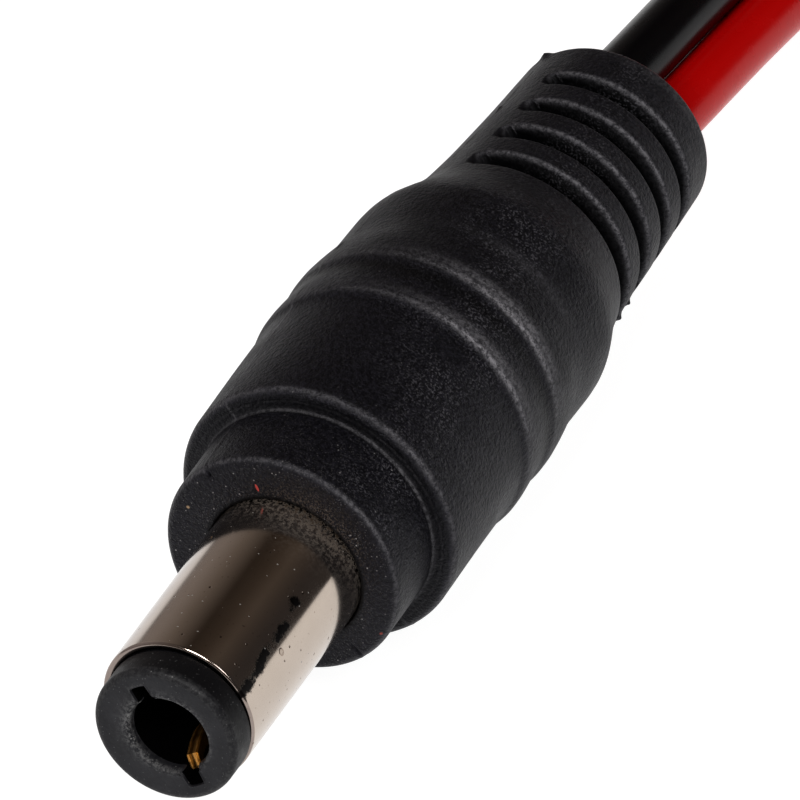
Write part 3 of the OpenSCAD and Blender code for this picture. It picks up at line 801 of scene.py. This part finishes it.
def moulding():
    # stations along the outside: x, radius, wear with painted highlight, dust, grain, cut, how much of the stray
    st = []

    def add(x, r, wear_and_highlight=0.0, dust=0.3, grain=1.0, cut=None, follow=1.0):
        st.append((x, r, wear_and_highlight, dust, grain, cut, follow))

    # inside the seam beside the barrel, then the nose's face
    add(-0.35, BARREL_R + 0.012, 0, 0, 0.2, follow=0)
    add(-0.10, BARREL_R + 0.030, 0, 0, 0.2, follow=0)
    add(-0.03, BARREL_R + 0.050, 0, 0.2, 0.4, follow=0)
    add(0.0, BARREL_R + 0.075, 0, 0.9, 0.7, follow=0)
    flat = NOSE_R - 0.32
    for r in np.linspace(2.90, flat, 14):
        t = (r - 2.90) / (flat - 2.90)
        add(0.0, r, 0, 1.0, 0.8, follow=t * t * (3 - 2 * t))
    for k in range(1, 10):
        a = math.radians(90 * k / 9)
        add(-0.32 + 0.32 * math.cos(a), flat + 0.32 * math.sin(a), 0.38 * math.exp(-(((k - 5.5) / 1.6) ** 2)), 0.9, 0.8)
    for x in np.linspace(-0.45, -NOSE_LEN + 0.2, 22):
        add(x, NOSE_R, 0, 1.0, 1.0)
    for k in range(0, 5):
        a = math.radians(90 * k / 4)
        add(-NOSE_LEN + 0.14 - 0.14 * math.sin(a), NOSE_R + 0.14 - 0.14 * math.cos(a), 0.32 if k in (1, 2) else 0.05, 0.6, 0.8)
    add(-NOSE_LEN, NOSE_R + 0.25, 0, 0.5, 0.8)
    add(-NOSE_LEN, GRIP_R - 0.42, 0.1, 0.5, 0.8)
    for k in range(0, 10):
        a = math.radians(90 * k / 9)
        add(-NOSE_LEN - 0.36 + 0.36 * math.cos(a), GRIP_R - 0.36 + 0.36 * math.sin(a), 0.40 * math.exp(-(((k - 6.0) / 1.7) ** 2)), 0.4, 1.0)

    cx = np.array([c[0] for c in BODY_CURVE])
    cr = np.array([c[1] for c in BODY_CURVE])
    # [depth behind the nose, what the slot does there]
    xs = [(x, None) for x in (3.5, 3.9, 4.5, 5.2, 6.0, 6.8, 7.5, 8.0)]
    xs += [(x, None) for x in np.arange(8.3, 14.2, 0.085)]
    xs += [(x, None) for x in np.arange(14.3, 15.6, 0.26)]
    xs += [(x, None) for x in np.arange(15.7, 26.25, 0.15)]
    fr, rr = 0.12, 0.22
    for n, (a, b, half) in enumerate(SLOTS):
        xs = [p for p in xs if not (a - fr - 0.03 < p[0] < b + rr + 0.03)]
        # each pocket's rims: wear and a painted highlight, strongest on the rear rim
        for q in (0.0, 0.3, 0.55, 0.8, 0.95, 1.0):
            xs.append((a - fr + fr * q, ("edge", fr * (1 - math.sqrt(1 - q * q)), n, 0.35 * q)))
            xs.append((b + rr - rr * q, ("edge", rr * (1 - math.sqrt(1 - q * q)), n, 0.52 * math.exp(-(((q - 0.55) / 0.30) ** 2)))))
        for dx, f in ((0.004, 0.3), (0.010, 0.6), (0.018, 0.85), (0.05, 0.97), (0.11, 1.0)):
            xs.append((a + dx, ("deep", f, n, 0)))
            xs.append((b - dx, ("deep", f, n, 0)))
        xs.append(((a + b) / 2, ("deep", 1.0, n, 0)))
    xs.sort(key=lambda p: p[0])
    radii = pchip(cx, cr, [p[0] for p in xs])

    def crest(x, at, width):
        return math.exp(-(((x - at) / width) ** 2))

    for (x, cut), r in zip(xs, radii):
        # rib crests and rims: wear and a painted highlight along the crests
        wear_and_highlight = max(1.0 * crest(x, 8.90, 0.12), 1.0 * crest(x, 11.12, 0.13), 0.45 * crest(x, 9.2, 0.25),
                   0.55 * crest(x, 11.42, 0.26), 0.12 * crest(x, 13.6, 0.3),
                   0.05 if x > 17.3 else 0.0, 0.20 * crest(x, 26.15, 0.15))
        add(-x, float(r), wear_and_highlight, 0.35 if x < 17 else 0.22, 1.0 if x < 17.0 else 0.7, cut)
    for k in range(1, 9):
        a = math.radians(90 * k / 8)
        add(-RELIEF_END + 0.35 - 0.35 * math.sin(a), 3.25 + 0.35 * math.cos(a), 0.35 * math.sin(2 * a), 0.2, 0.8)
    for r in (3.0, 2.6, 2.2, 1.6, 1.0, 0.5, 0.06):
        add(-RELIEF_END, r, 0.0, 0.2, 0.8)

    base = np.linspace(0, 2 * math.pi, 184, endpoint=False)
    extra = []
    for c in (0.0, math.pi):
        extra += [c + math.radians(v) for v in (-4.4, -3.3, -2.4, -1.7, 1.7, 2.4, 3.3, 4.4, -1.25, -0.95, -0.62, -0.36, -0.16, 0.16, 0.36, 0.62, 0.95, 1.25)]
        for e in (13.2, 13.8, 14.4, 15.0, 15.6, 16.2, 16.7, 17.2, 17.6, 18.0, 18.4, 18.9, 19.4, 20.0, 20.6, 21.2, 21.8, 22.4,
                  23.0, 23.6, 24.2, 24.8, 25.4, 26.0, 26.6, 27.3):
            extra += [c + math.radians(e), c - math.radians(e)]
    th = np.array(sorted(set(np.round(np.mod(np.concatenate([base, extra]), 2 * math.pi), 7))))
    # th is counted from the parting plane: direction = cos th * P + sin th * Q
    P = np.array([0, math.cos(PARTING), -math.sin(PARTING)])
    Q = np.array([0, math.sin(PARTING), math.cos(PARTING)])
    dirs = np.cos(th)[:, None] * P + np.sin(th)[:, None] * Q
    off_seam = np.abs(np.mod(th + math.pi / 2, math.pi) - math.pi / 2)
    deg = np.degrees(off_seam)
    early = np.where((th > math.pi) & (th < 1.5 * math.pi), 2.6, 0.0)  # these pockets reach nearer the parting line
    signed = np.mod(th + math.pi / 2, 2 * math.pi) - math.pi / 2  # 0 at +P, pi at -P

    # crumbs of flash on the parting line: [x, which side, height, length]
    crumbs = ((-26.5, math.pi, 0.17, 0.22, 0.07), (-19.42, 0.325, 0.13, 0.11, 0.030), (-20.28, 0.325, 0.12, 0.10, 0.026),
              (-18.1, 0.0, 0.05, 0.15, 0.022), (-22.9, math.pi, 0.05, 0.15, 0.022), (-12.4, math.pi, 0.03, 0.25, 0.022),
              (-1.6, math.pi, 0.035, 0.7, 0.022), (-16.9, 0.31, 0.03, 0.2, 0.03))
    loops, wear_and_highlight, dust, grain, brown, painted_glint_band, shade = [], [], [], [], [], [], []
    phi = np.degrees(th) - 47.0  # counted from +Y towards +Z
    above = np.exp(-((((phi - 64 + 180) % 360 - 180) / 36.0) ** 2))
    # painted highlight: the wear marks are brightened on the side that faces the key light and dimmed away from it
    lit = 0.16 + 0.84 * np.exp(-((((phi - 45 + 180) % 360 - 180) / 29.0) ** 2))
    for x, r, w, du, g, cut, follow in st:
        ro = np.full(len(th), r)
        back = np.zeros(len(th))
        we = w * np.maximum(lit, 0.55 if x > -3.4 else 0.0)
        sh = np.zeros(len(th))
        ge = np.full(len(th), g)
        if cut is not None:
            kind, amount, n, scuff_and_highlight = cut
            half = SLOTS[n][2]
            core = 1 / np.sqrt((np.cos(th) / (half + 0.17)) ** 2 + (np.sin(th) / CORE_B) ** 2)
            a, b, _ = SLOTS[n]
            mid, hw = (a + b) / 2, (b - a) / 2
            s_in = min(abs(-x - mid) / hw, 1.0)
            # seen along the mould's pull, each pocket ends in a half round
            more = math.degrees(hw * (1 - math.sqrt(1 - s_in * s_in)) / r) * 0.9
            t = np.clip((deg - (16.6 - early + more)) / 5.5, 0, 1)
            ends = t * t * (3 - 2 * t)
            depth = np.maximum(r - core, 0.0) * ends
            rim = np.exp(-(((deg - (17.6 - early + more)) / 1.3) ** 2))
            # wear and a painted highlight round the pocket's end, strongest on its rear half
            we = np.maximum(we, 0.20 * rim * (1.0 if -x > mid else 0.2))
            if kind == "edge":
                ro = r - np.minimum(depth, amount)
                we = np.maximum(we, scuff_and_highlight * np.clip(depth / 0.3, 0, 1) * (0.5 + 0.5 * lit))
                sh = 0.9 * np.clip(depth / 0.3, 0, 1) * np.clip((amount / (fr if scuff_and_highlight < 0.36 and amount <= fr else rr)) * 1.4 - 0.5, 0, 1)
            else:
                ro = r - np.maximum(np.minimum(depth, 0.2), depth * amount)
                # deep in the pocket: painted shade, the colour taken to black and the pebble tops faded
                inside = np.clip(depth / 0.2, 0, 1)
                we = we * (1 - inside)
                ge = ge * (1 - 0.7 * inside)
                sh = inside
        if 9.6 < -x < 10.85:  # the valley between the two ribs
            sh = np.full(len(th), 0.75 * math.exp(-(((-x - 10.45) / 0.34) ** 2)))
        elif -3.35 < x < -2.80 and r < GRIP_R - 0.2:
            sh = np.full(len(th), 0.6)
        elif x >= 0.0 and r < 2.95:
            sh = np.full(len(th), 0.9)
        elif -x > 10.9 and -x < 15.5:
            sh = np.full(len(th), 0.2)
        # nicks in the nose's rim, where the flash was trimmed off
        if -0.33 < x and r > 3.3:
            far = np.exp(-(((signed - math.pi + 0.03) / 0.016) ** 2)) * (1 if r > 3.75 else 0)
            low = np.exp(-(((signed - 0.05) / 0.014) ** 2)) * math.exp(-(((r - 3.85) / 0.3) ** 2))
            back = -0.14 * np.maximum(far, low)
        # the flash line where the mould halves meet
        if r > 3.0 and x < -0.02:
            line = np.exp(-((off_seam / 0.0085) ** 2))
            ro = ro + 0.020 * line * (0.6 + 0.4 * math.sin(x * 3.1) * math.sin(x * 1.3 + 1))
            for cxx, at, h, ln, wide in crumbs:
                if abs(x - cxx) < 3 * ln:
                    gap = (signed - at + math.pi) % (2 * math.pi) - math.pi
                    ro = ro + h * np.exp(-((gap / wide) ** 2)) * math.exp(-(((x - cxx) / ln) ** 2))
            we = np.maximum(we, 0.20 * np.exp(-((off_seam / 0.011) ** 2)))
        # a soft moulding is never perfectly round
        if r > 2.9 and x < -0.1:
            ro = ro + 0.006 * np.sin(2 * th + 0.4) * min(1, abs(x) / 3) + 0.004 * np.sin(3 * th - x * 0.25)
        ring = np.array([x, 0, 0]) + follow * stray(x) * STRAY_WAY + ro[:, None] * dirs
        ring[:, 0] += back
        loops.append(ring)
        wear_and_highlight.append(we)
        near = math.exp(-(((r - 2.8) / 0.75) ** 2)) if x > -0.05 else 0.0
        seam = 0.0 if r < 2.95 and x >= -0.4 else 1.0
        dust.append(du * seam * (1 - np.clip(sh, 0, 1)) * (1 + 1.6 * above * near))
        shade.append(sh)
        brown.append((1.7 * near * above + 0.30 * near) * seam)
        # painted glints: pale dots painted in a band round the side that faces the key light, standing in for the light
        # caught by the pebbly skin's tops
        at = 42 + 23 * min(1.0, max(0.0, -x / 16))
        amount = 1.0 if -2.8 < x < -0.4 else 0.85 if -15.5 < x < -3.2 else 0.60 if x < -15.5 else 0.0
        if -9.3 < x < -3.2:
            amount *= 0.55 + 0.45 * min(1.0, (-3.2 - x) / 3)
        painted_glint_band.append(amount * np.exp(-((((phi - at + 180) % 360 - 180) / 24.0) ** 2)) * (1 - np.clip(we, 0, 1)))
        grain.append(ge)
    v, f = loft(loops, cap1=True)
    o = mesh_object("moulded_body", v * MM, f)
    attribute(o, "wear_and_highlight", np.concatenate(wear_and_highlight))
    attribute(o, "dust", np.concatenate(dust))
    attribute(o, "grain", np.concatenate(grain))
    attribute(o, "brown", np.concatenate(brown))
    attribute(o, "painted_glint_band", np.concatenate(painted_glint_band))
    attribute(o, "shade", np.concatenate(shade))
    recalc(o)
    assign(o, PVC)
    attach(o, "root")
    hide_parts("overmould")
    print("BODY FACES", len(f))
    return o


body = moulding()

# ------------------------------------------------------------------ the barrel
def barrel():
    prof = []
    for x in (-0.6, -0.3, 0.0, 0.05, 0.12, 0.2, 0.3, 0.42, 0.56, 0.7, 0.85, 1.0, 1.3, *np.arange(1.6, 8.2, 0.15), BARREL_OUT - 0.13):
        prof.append((x, BARREL_R))
    for k in range(0, 9):
        a = math.radians(90 * k / 8)
        prof.append((BARREL_OUT - 0.12 + 0.12 * math.sin(a), BARREL_R - 0.12 + 0.12 * math.cos(a)))
    prof += [(BARREL_OUT - 0.01, BARREL_RI + 0.10), (BARREL_OUT - 0.06, BARREL_RI + 0.03), (BARREL_OUT - 0.2, BARREL_RI)]
    prof += [(0.0, BARREL_RI), (-0.6, BARREL_RI)]
    th = np.linspace(0, 2 * math.pi, 256, endpoint=False)
    dirs = np.stack([0 * th, np.cos(th), np.sin(th)], 1)
    loops, dirt, foot, tarnish = [], [], [], []
    for x, r in prof:
        loops.append(np.array([x, 0, 0]) + r * dirs)
        # a dull blotchy band along the lower right, more of it towards the moulding
        ang = np.degrees(np.angle(np.exp(1j * (th - math.radians(39)))))
        # (an irregular stain, wider towards the open end)
        edge = 41.0 - 1.65 * (x - 3.1) + 0.9 * math.sin(x * 2.3) + 0.7 * math.sin(x * 5.1 + 1)
        ang = (np.degrees(th) - edge + 180) % 360 - 180
        t = min(1.0, max(0.0, (x - 3.0) / 0.6))
        band = np.exp(-((ang / 5.0) ** 2)) * t * t * (3 - 2 * t) * (0.75 + 0.25 * math.sin(x * 4.1))
        dirt.append(np.clip(band, 0, 1) * (1 if r > 2.6 else 0.3))
        ang2 = (np.degrees(th) - 66 + 180) % 360 - 180
        foot.append((0.45 + 1.3 * np.exp(-((ang2 / 34.0) ** 2))) * math.exp(-max(0.0, x) / 0.5) * (1 if r > 2.6 else 0))
        left = np.clip(((np.degrees(th) + 360) % 360 - 112) / 30, 0, 1) * (((np.degrees(th) + 360) % 360) < 250)
        right = np.exp(-((((np.degrees(th) + 8 + 180) % 360 - 180) / 34.0) ** 4))
        tarnish.append(0.85 * left + 0.22 * right + (0.75 if r < BARREL_R - 0.004 and x > 8 else 0.0))
    v, f = loft(loops)
    n = len(th)
    last = (len(prof) - 1) * n
    f += [(i, last + i, last + (i + 1) % n, (i + 1) % n) for i in range(n)]
    o = mesh_object("barrel_tube", v * MM, f)
    attribute(o, "dirt", np.concatenate(dirt))
    attribute(o, "foot", np.concatenate(foot))
    attribute(o, "tarnish", np.clip(np.concatenate(tarnish), 0, 1))
    recalc(o)
    assign(o, NICKEL)
    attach(o, "root")
    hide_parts("barrel_sleeve")
    return o


tube = barrel()

# ------------------------------------------------------------------ the insulator's ring, hole and slots
def hole_outline():
    """The hole with its two slots, as points round it: [along the slots, across them]."""
    w, pts = SLOT_W / 2, []
    a_in, a_out = math.asin(w / BORE_R), math.asin(w / SLOT_HALF)

    def corner(p, q, r, n=5, size=0.07):
        p, q, r = (np.array(v, float) for v in (p, q, r))
        a = q + (p - q) / np.linalg.norm(p - q) * size
        b = q + (r - q) / np.linalg.norm(r - q) * size
        for k in range(n + 1):
            t = k / n
            pts.append((1 - t) ** 2 * a + 2 * t * (1 - t) * q + t * t * b)

    def half(sign):
        def at(p):
            return (sign * p[0], sign * p[1])
        o1 = (SLOT_HALF * math.cos(a_out), -w)
        o2 = (SLOT_HALF * math.cos(a_out), w)
        i1 = (BORE_R * math.cos(a_in), -w)
        i2 = (BORE_R * math.cos(a_in), w)
        mid = (SLOT_HALF, 0)
        pb = (BORE_R * math.cos(a_in + 0.2), -BORE_R * math.sin(a_in + 0.2))
        pa = (BORE_R * math.cos(a_in + 0.2), BORE_R * math.sin(a_in + 0.2))
        corner(at(pb), at(i1), at(o1), size=0.05)
        for t in (0.3, 0.5, 0.7):
            pts.append(np.array(at((i1[0] + (o1[0] - i1[0]) * t, -w))))
        corner(at(i1), at(o1), at(mid))
        for a in np.linspace(-a_out * 0.5, a_out * 0.5, 5):
            pts.append(np.array(at((SLOT_HALF * math.cos(a), SLOT_HALF * math.sin(a)))))
        corner(at(mid), at(o2), at(i2))
        for t in (0.3, 0.5, 0.7):
            pts.append(np.array(at((o2[0] + (i2[0] - o2[0]) * t, w))))
        corner(at(o2), at(i2), at(pa), size=0.05)
        for a in np.linspace(a_in + 0.10, math.pi - a_in - 0.10, 60):
            pts.append(np.array(at((BORE_R * math.cos(a), BORE_R * math.sin(a)))))

    half(1)
    half(-1)
    return np.array(pts)


def tip():
    o2 = hole_outline()
    n = len(o2)
    tang = np.roll(o2, -1, 0) - np.roll(o2, 1, 0)
    tang /= np.maximum(np.linalg.norm(tang, axis=1), 1e-9)[:, None]
    out = np.stack([tang[:, 1], -tang[:, 0]], 1)
    polar = np.arctan2(o2[:, 1], o2[:, 0])
    rad = np.linalg.norm(o2, axis=1)
    A = np.array([0, math.cos(FORK_TILT), -math.sin(FORK_TILT)])
    B = np.array([0, math.sin(FORK_TILT), math.cos(FORK_TILT)])

    # the ring stands a little off the barrel's axis, and its hole off the ring's
    def slack(x, hole):
        t = min(1.0, max(0.0, (x - 5.5) / 2.5)) if hole else min(1.0, max(0.0, (x - 8.3) / 0.2))
        t = t * t * (3 - 2 * t)
        return np.array([0, 0.22, -0.03]) * t if hole else np.array([0, 0.100, -0.053]) * t

    def ring(xy, x, hole=0.0):
        off = hole * slack(x, True) + (1 - hole) * slack(x, False)
        return np.array([x, 0, 0]) + off + xy[:, :1] * A + xy[:, 1:] * B

    circle = np.stack([np.cos(polar), np.sin(polar)], 1)
    loops, dust, wear_and_highlight, side, inside = [], [], [], [], [True]
    # the side of the hole that the pin rubs most
    low_side = np.clip(0.5 - 0.5 * np.cos(polar + FORK_TILT - math.radians(55)), 0, 1)

    def put(l, d, w):
        if inside[0] and l[0, 0] < TIP_X - 0.3:
            inside[0] = len(loops) + 1
        loops.append(l)
        dust.append(np.full(n, d))
        wear_and_highlight.append(np.asarray(w) if np.ndim(w) else np.full(n, w))
        # side: painted shade on the ring's outer side and rear rim, half of it on the face's fillet
        side.append(np.full(n, 0.0 if np.ndim(d) else 1.0 if d in (0.7, 0.2) else 0.45 if d == 0.6 else 0.0))

    put(ring(o2 * 0.02, TIP_X - BORE_DEPTH, 1), 0, 0)
    put(ring(o2, TIP_X - BORE_DEPTH, 1), 0, 0)
    for d in (6.0, 4.2, 3.6, 3.0, 2.4, 1.8, 1.5, 1.0, 0.7, 0.52, 0.44, 0.36, 0.30):
        put(ring(o2, TIP_X - d, 1), 0.4, 0.30 * low_side if d < 0.5 else 0)
    on_bore = np.clip((BORE_R + 0.15 - rad) / 0.12, 0, 1)
    for q, (dx, do) in enumerate(((0.22, 0.006), (0.15, 0.025), (0.09, 0.052), (0.045, 0.085), (0.012, 0.125), (0.0, 0.17))):
        grow = do * (0.22 + 0.78 * on_bore)
        put(ring(o2 + out * grow[:, None], TIP_X - dx, 1), 0.8 + 1.8 * low_side,
            (0.25 + 0.75 * low_side) * on_bore * (1.0 if 1 <= q <= 3 else 0.5))
    deep, notch = inside[0], len(loops) - 4
    inside[0] = False
    inner = o2 + out * (0.17 * (0.22 + 0.78 * on_bore))[:, None]
    r_in = np.linalg.norm(inner, axis=1)
    r_face = TIP_R - 0.25
    for t in (0.1, 0.22, 0.36, 0.5, 0.66, 0.82, 1.0):
        r = r_in + (r_face - r_in) * t
        # a faint dish round the hole, as the moulding sinks
        put(ring(circle * r[:, None], TIP_X - 0.012 * (1 - t), (1 - t) ** 2), 1.0 + 2.0 * low_side * (1 - t) ** 2, 0.35 * low_side * (1 - t) ** 4)
    for k in range(1, 10):
        a = math.radians(90 * k / 9)
        put(ring(circle * (TIP_R - 0.25 + 0.25 * math.sin(a)), TIP_X - 0.25 + 0.25 * math.cos(a)), 0.6, 0.10)
    for x in (9.35, 9.15, 8.95, 8.75, 8.58):
        put(ring(circle * TIP_R, x), 0.7, 0)
    for k in range(1, 5):
        a = math.radians(90 * k / 4)
        put(ring(circle * (TIP_R - 0.08 + 0.08 * math.cos(a)), 8.53 - 0.08 * math.sin(a)), 0.2, 0)
    put(ring(circle * (BARREL_RI + 0.02), 8.42), 0, 0)
    put(ring(circle * (BARREL_RI - 0.01), 8.3), 0, 0)
    put(ring(circle * (BARREL_RI - 0.01), -0.5), 0, 0)
    v, f = loft(loops, cap0=True, cap1=True)
    o = mesh_object("tip_ring", v * MM, f)
    attribute(o, "dust", np.concatenate(dust))
    attribute(o, "wear_and_highlight", np.concatenate(wear_and_highlight))
    attribute(o, "side", np.concatenate(side))
    recalc(o)
    assign(o, INSULATOR)
    o.data.materials.append(BORE.m)
    # painted shadow: faces down in the hole and the slots' walls get the near-black bore material
    cut = (deep - 1) * n
    for p in o.data.polygons:
        if all(i < cut for i in p.vertices):
            p.material_index = 1
        elif all(i // n <= notch and rad[i % n] > BORE_R + 0.04 for i in p.vertices):
            p.material_index = 1  # the slots' walls are as black as the hole
    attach(o, "root")
    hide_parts("tip_insulator")
    return o


tip_ring = tip()

# ------------------------------------------------------------------ the fork
def fork():
    half = [(-3.1, 0.6), (-3.1, 1.9), (0.4, 1.9), (3.0, 1.86), (5.5, 1.66), (7.4, 1.42), (8.0, 1.40),
            (8.7, 1.42), (9.15, 1.56), (9.38, 1.74), (9.47, 1.72), (9.5, 1.62), (9.42, 1.42),
            (9.3, 1.22), (8.7, GRIP + 0.12), (8.15, GRIP + 0.01), (7.9, GRIP),
            (7.6, GRIP + 0.02), (7.0, GRIP + 0.08), (5.0, 1.12), (2.5, 1.22), (1.4, 1.12),
            (0.8, 0.8), (0.6, 0.4)]
    # as formed, the tines stop a little short of the drawing; the far one is shorter still
    half = [(x if x < 7.9 else 7.9 + (x - 7.9) * 0.78, r) for x, r in half]
    short = [(x if x < 8.4 else 8.4 + (x - 8.4) * 0.35, r) for x, r in half]
    pts = half + [(x, -r) for x, r in reversed(short)] + [(-6.4, -0.6), (-6.7, -0.3), (-10.5, -0.3), (-10.5, 0.6)]
    bm = bmesh.new()
    vs = [bm.verts.new((x * MM, r * MM, -FORK_T / 2 * MM)) for x, r in pts]
    face = bm.faces.new(vs)
    got = bmesh.ops.extrude_face_region(bm, geom=[face])
    top = [g for g in got["geom"] if isinstance(g, bmesh.types.BMVert)]
    bmesh.ops.translate(bm, verts=top, vec=(0, 0, FORK_T * MM))
    bmesh.ops.recalc_face_normals(bm, faces=bm.faces)
    rims = [e for e in bm.edges if abs(e.verts[0].co.z - e.verts[1].co.z) < 1e-9]
    bmesh.ops.bevel(bm, geom=rims, offset=0.05 * MM, segments=3, affect="EDGES", profile=0.5)
    bmesh.ops.rotate(bm, verts=bm.verts, cent=(0, 0, 0), matrix=Matrix.Rotation(-FORK_TILT, 3, "X"))
    for v in bm.verts:  # the tines lean with the ring they stand in
        t = min(1.0, max(0.0, (v.co.x / MM - 4.0) / 4.0))
        v.co += Vector((0, 0.100, -0.053)) * (MM * t * t * (3 - 2 * t))
    me = bpy.data.meshes.new("fork_spring")
    bm.to_mesh(me)
    bm.free()
    o = link(bpy.data.objects.new("fork_spring", me))
    assign(o, BRONZE)
    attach(o, "root")
    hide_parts("fork_contact")
    return o


fork_obj = fork()

# ------------------------------------------------------------------ the sealed pieces keep their CAD shape
for name, mat in (("inner_mould", NATURAL_PE), ("sleeve_tag", TAG), ("red_solder_joint", SOLDER),
                  ("black_solder_joint", SOLDER), ("red_conductor", COPPER), ("black_conductor", COPPER)):
    assign(NODES[name], mat)

# ------------------------------------------------------------------ floor and light
def stage():
    me = bpy.data.meshes.new("floor")
    s = 4.0
    z = FLOOR * MM - 1e-5
    me.from_pydata([(-s, -s, z), (s, -s, z), (s, s, z), (-s, s, z)], [], [(0, 1, 2, 3)])
    floor = link(bpy.data.objects.new("floor", me))
    m = Mat("floor_white")
    m.set(Roughness=0.9, Specular_IOR_Level=0.1, Emission_Strength=1.0)
    sep = m.node("ShaderNodeSeparateXYZ")
    m.to(m.place(), sep.inputs[0])
    # the floor glows evenly white where it is seen; towards -Y, out of view, its glow and colour fall off to dark grey,
    # a painted shade beside the plug
    side = m.math("MULTIPLY_ADD", sep.outputs["Y"], 2.5)
    side.node.inputs[2].default_value = 0.5
    m.to(m.ramp(side, [(0.20, (0.20, 0.185, 0.18)), (0.43, (0.95, 0.95, 0.95))]), m.bsdf.inputs["Emission Color"])
    m.color(m.ramp(side, [(0.20, 0.20), (0.43, 0.22)]))
    assign(floor, m)

    w = bpy.data.worlds.new("studio")
    scene.world = w
    w.use_nodes = True
    t = w.node_tree
    t.nodes.clear()
    out = t.nodes.new("ShaderNodeOutputWorld")
    bg = t.nodes.new("ShaderNodeBackground")
    tc = t.nodes.new("ShaderNodeTexCoord")
    sep = t.nodes.new("ShaderNodeSeparateXYZ")
    ramp = t.nodes.new("ShaderNodeValToRGB")
    half = t.nodes.new("ShaderNodeMath")
    half.operation = "MULTIPLY_ADD"
    t.links.new(tc.outputs["Generated"], sep.inputs[0])
    t.links.new(sep.outputs["Y"], half.inputs[0])
    half.inputs[1].default_value = 0.5
    half.inputs[2].default_value = 0.5
    t.links.new(half.outputs[0], ramp.inputs[0])
    stops = [(-1.0, (0.60, 0.56, 0.55)), (-0.69, (0.33, 0.295, 0.28)), (-0.50, (0.215, 0.185, 0.165)),
             (-0.16, (0.050, 0.038, 0.030)), (0.10, (0.076, 0.059, 0.047)), (0.325, (0.120, 0.098, 0.082)),
             (0.50, (0.082, 0.068, 0.060)), (0.62, (0.060, 0.052, 0.050)), (1.0, (0.075, 0.070, 0.068))]
    e = ramp.color_ramp.elements
    while len(e) < len(stops):
        e.new(0.5)
    for el, (y, c) in zip(e, stops):
        el.position = y * 0.5 + 0.5
        el.color = (*c, 1)
    below = t.nodes.new("ShaderNodeMath")
    below.operation = "LESS_THAN"
    t.links.new(sep.outputs["Z"], below.inputs[0])
    below.inputs[1].default_value = 0.0
    mix = t.nodes.new("ShaderNodeMix")
    mix.data_type = "RGBA"
    t.links.new(below.outputs[0], mix.inputs[0])
    t.links.new(ramp.outputs[0], mix.inputs[6])
    mix.inputs[7].default_value = (1, 1, 1, 1)
    t.links.new(mix.outputs[2], bg.inputs[0])
    bg.inputs[1].default_value = 1.0
    t.links.new(bg.outputs[0], out.inputs[0])

    def area(name, at, to, size, power, color=(1, 1, 1)):
        l = bpy.data.lights.new(name, "AREA")
        l.shape = "RECTANGLE"
        l.size, l.size_y = size
        l.energy = power
        l.color = color
        o = link(bpy.data.objects.new(name, l))
        at, to = Vector(at), Vector(to)
        o.location = at
        o.rotation_euler = (to - at).to_track_quat("-Z", "Y").to_euler()
        return o

    c = Vector((-0.012, 0, 0))
    area("key", (0.55, 0.02, 0.62), c, (0.34, 0.34), 5.2, (1.0, 0.985, 0.97))
    area("fill", (0.30, 0.45, 0.55), c, (0.25, 0.25), 1.3, (1.0, 1.0, 1.0))


stage()
scene.view_settings.view_transform = "Standard"
scene.view_settings.look = "None"
scene.view_settings.gamma = 0.87
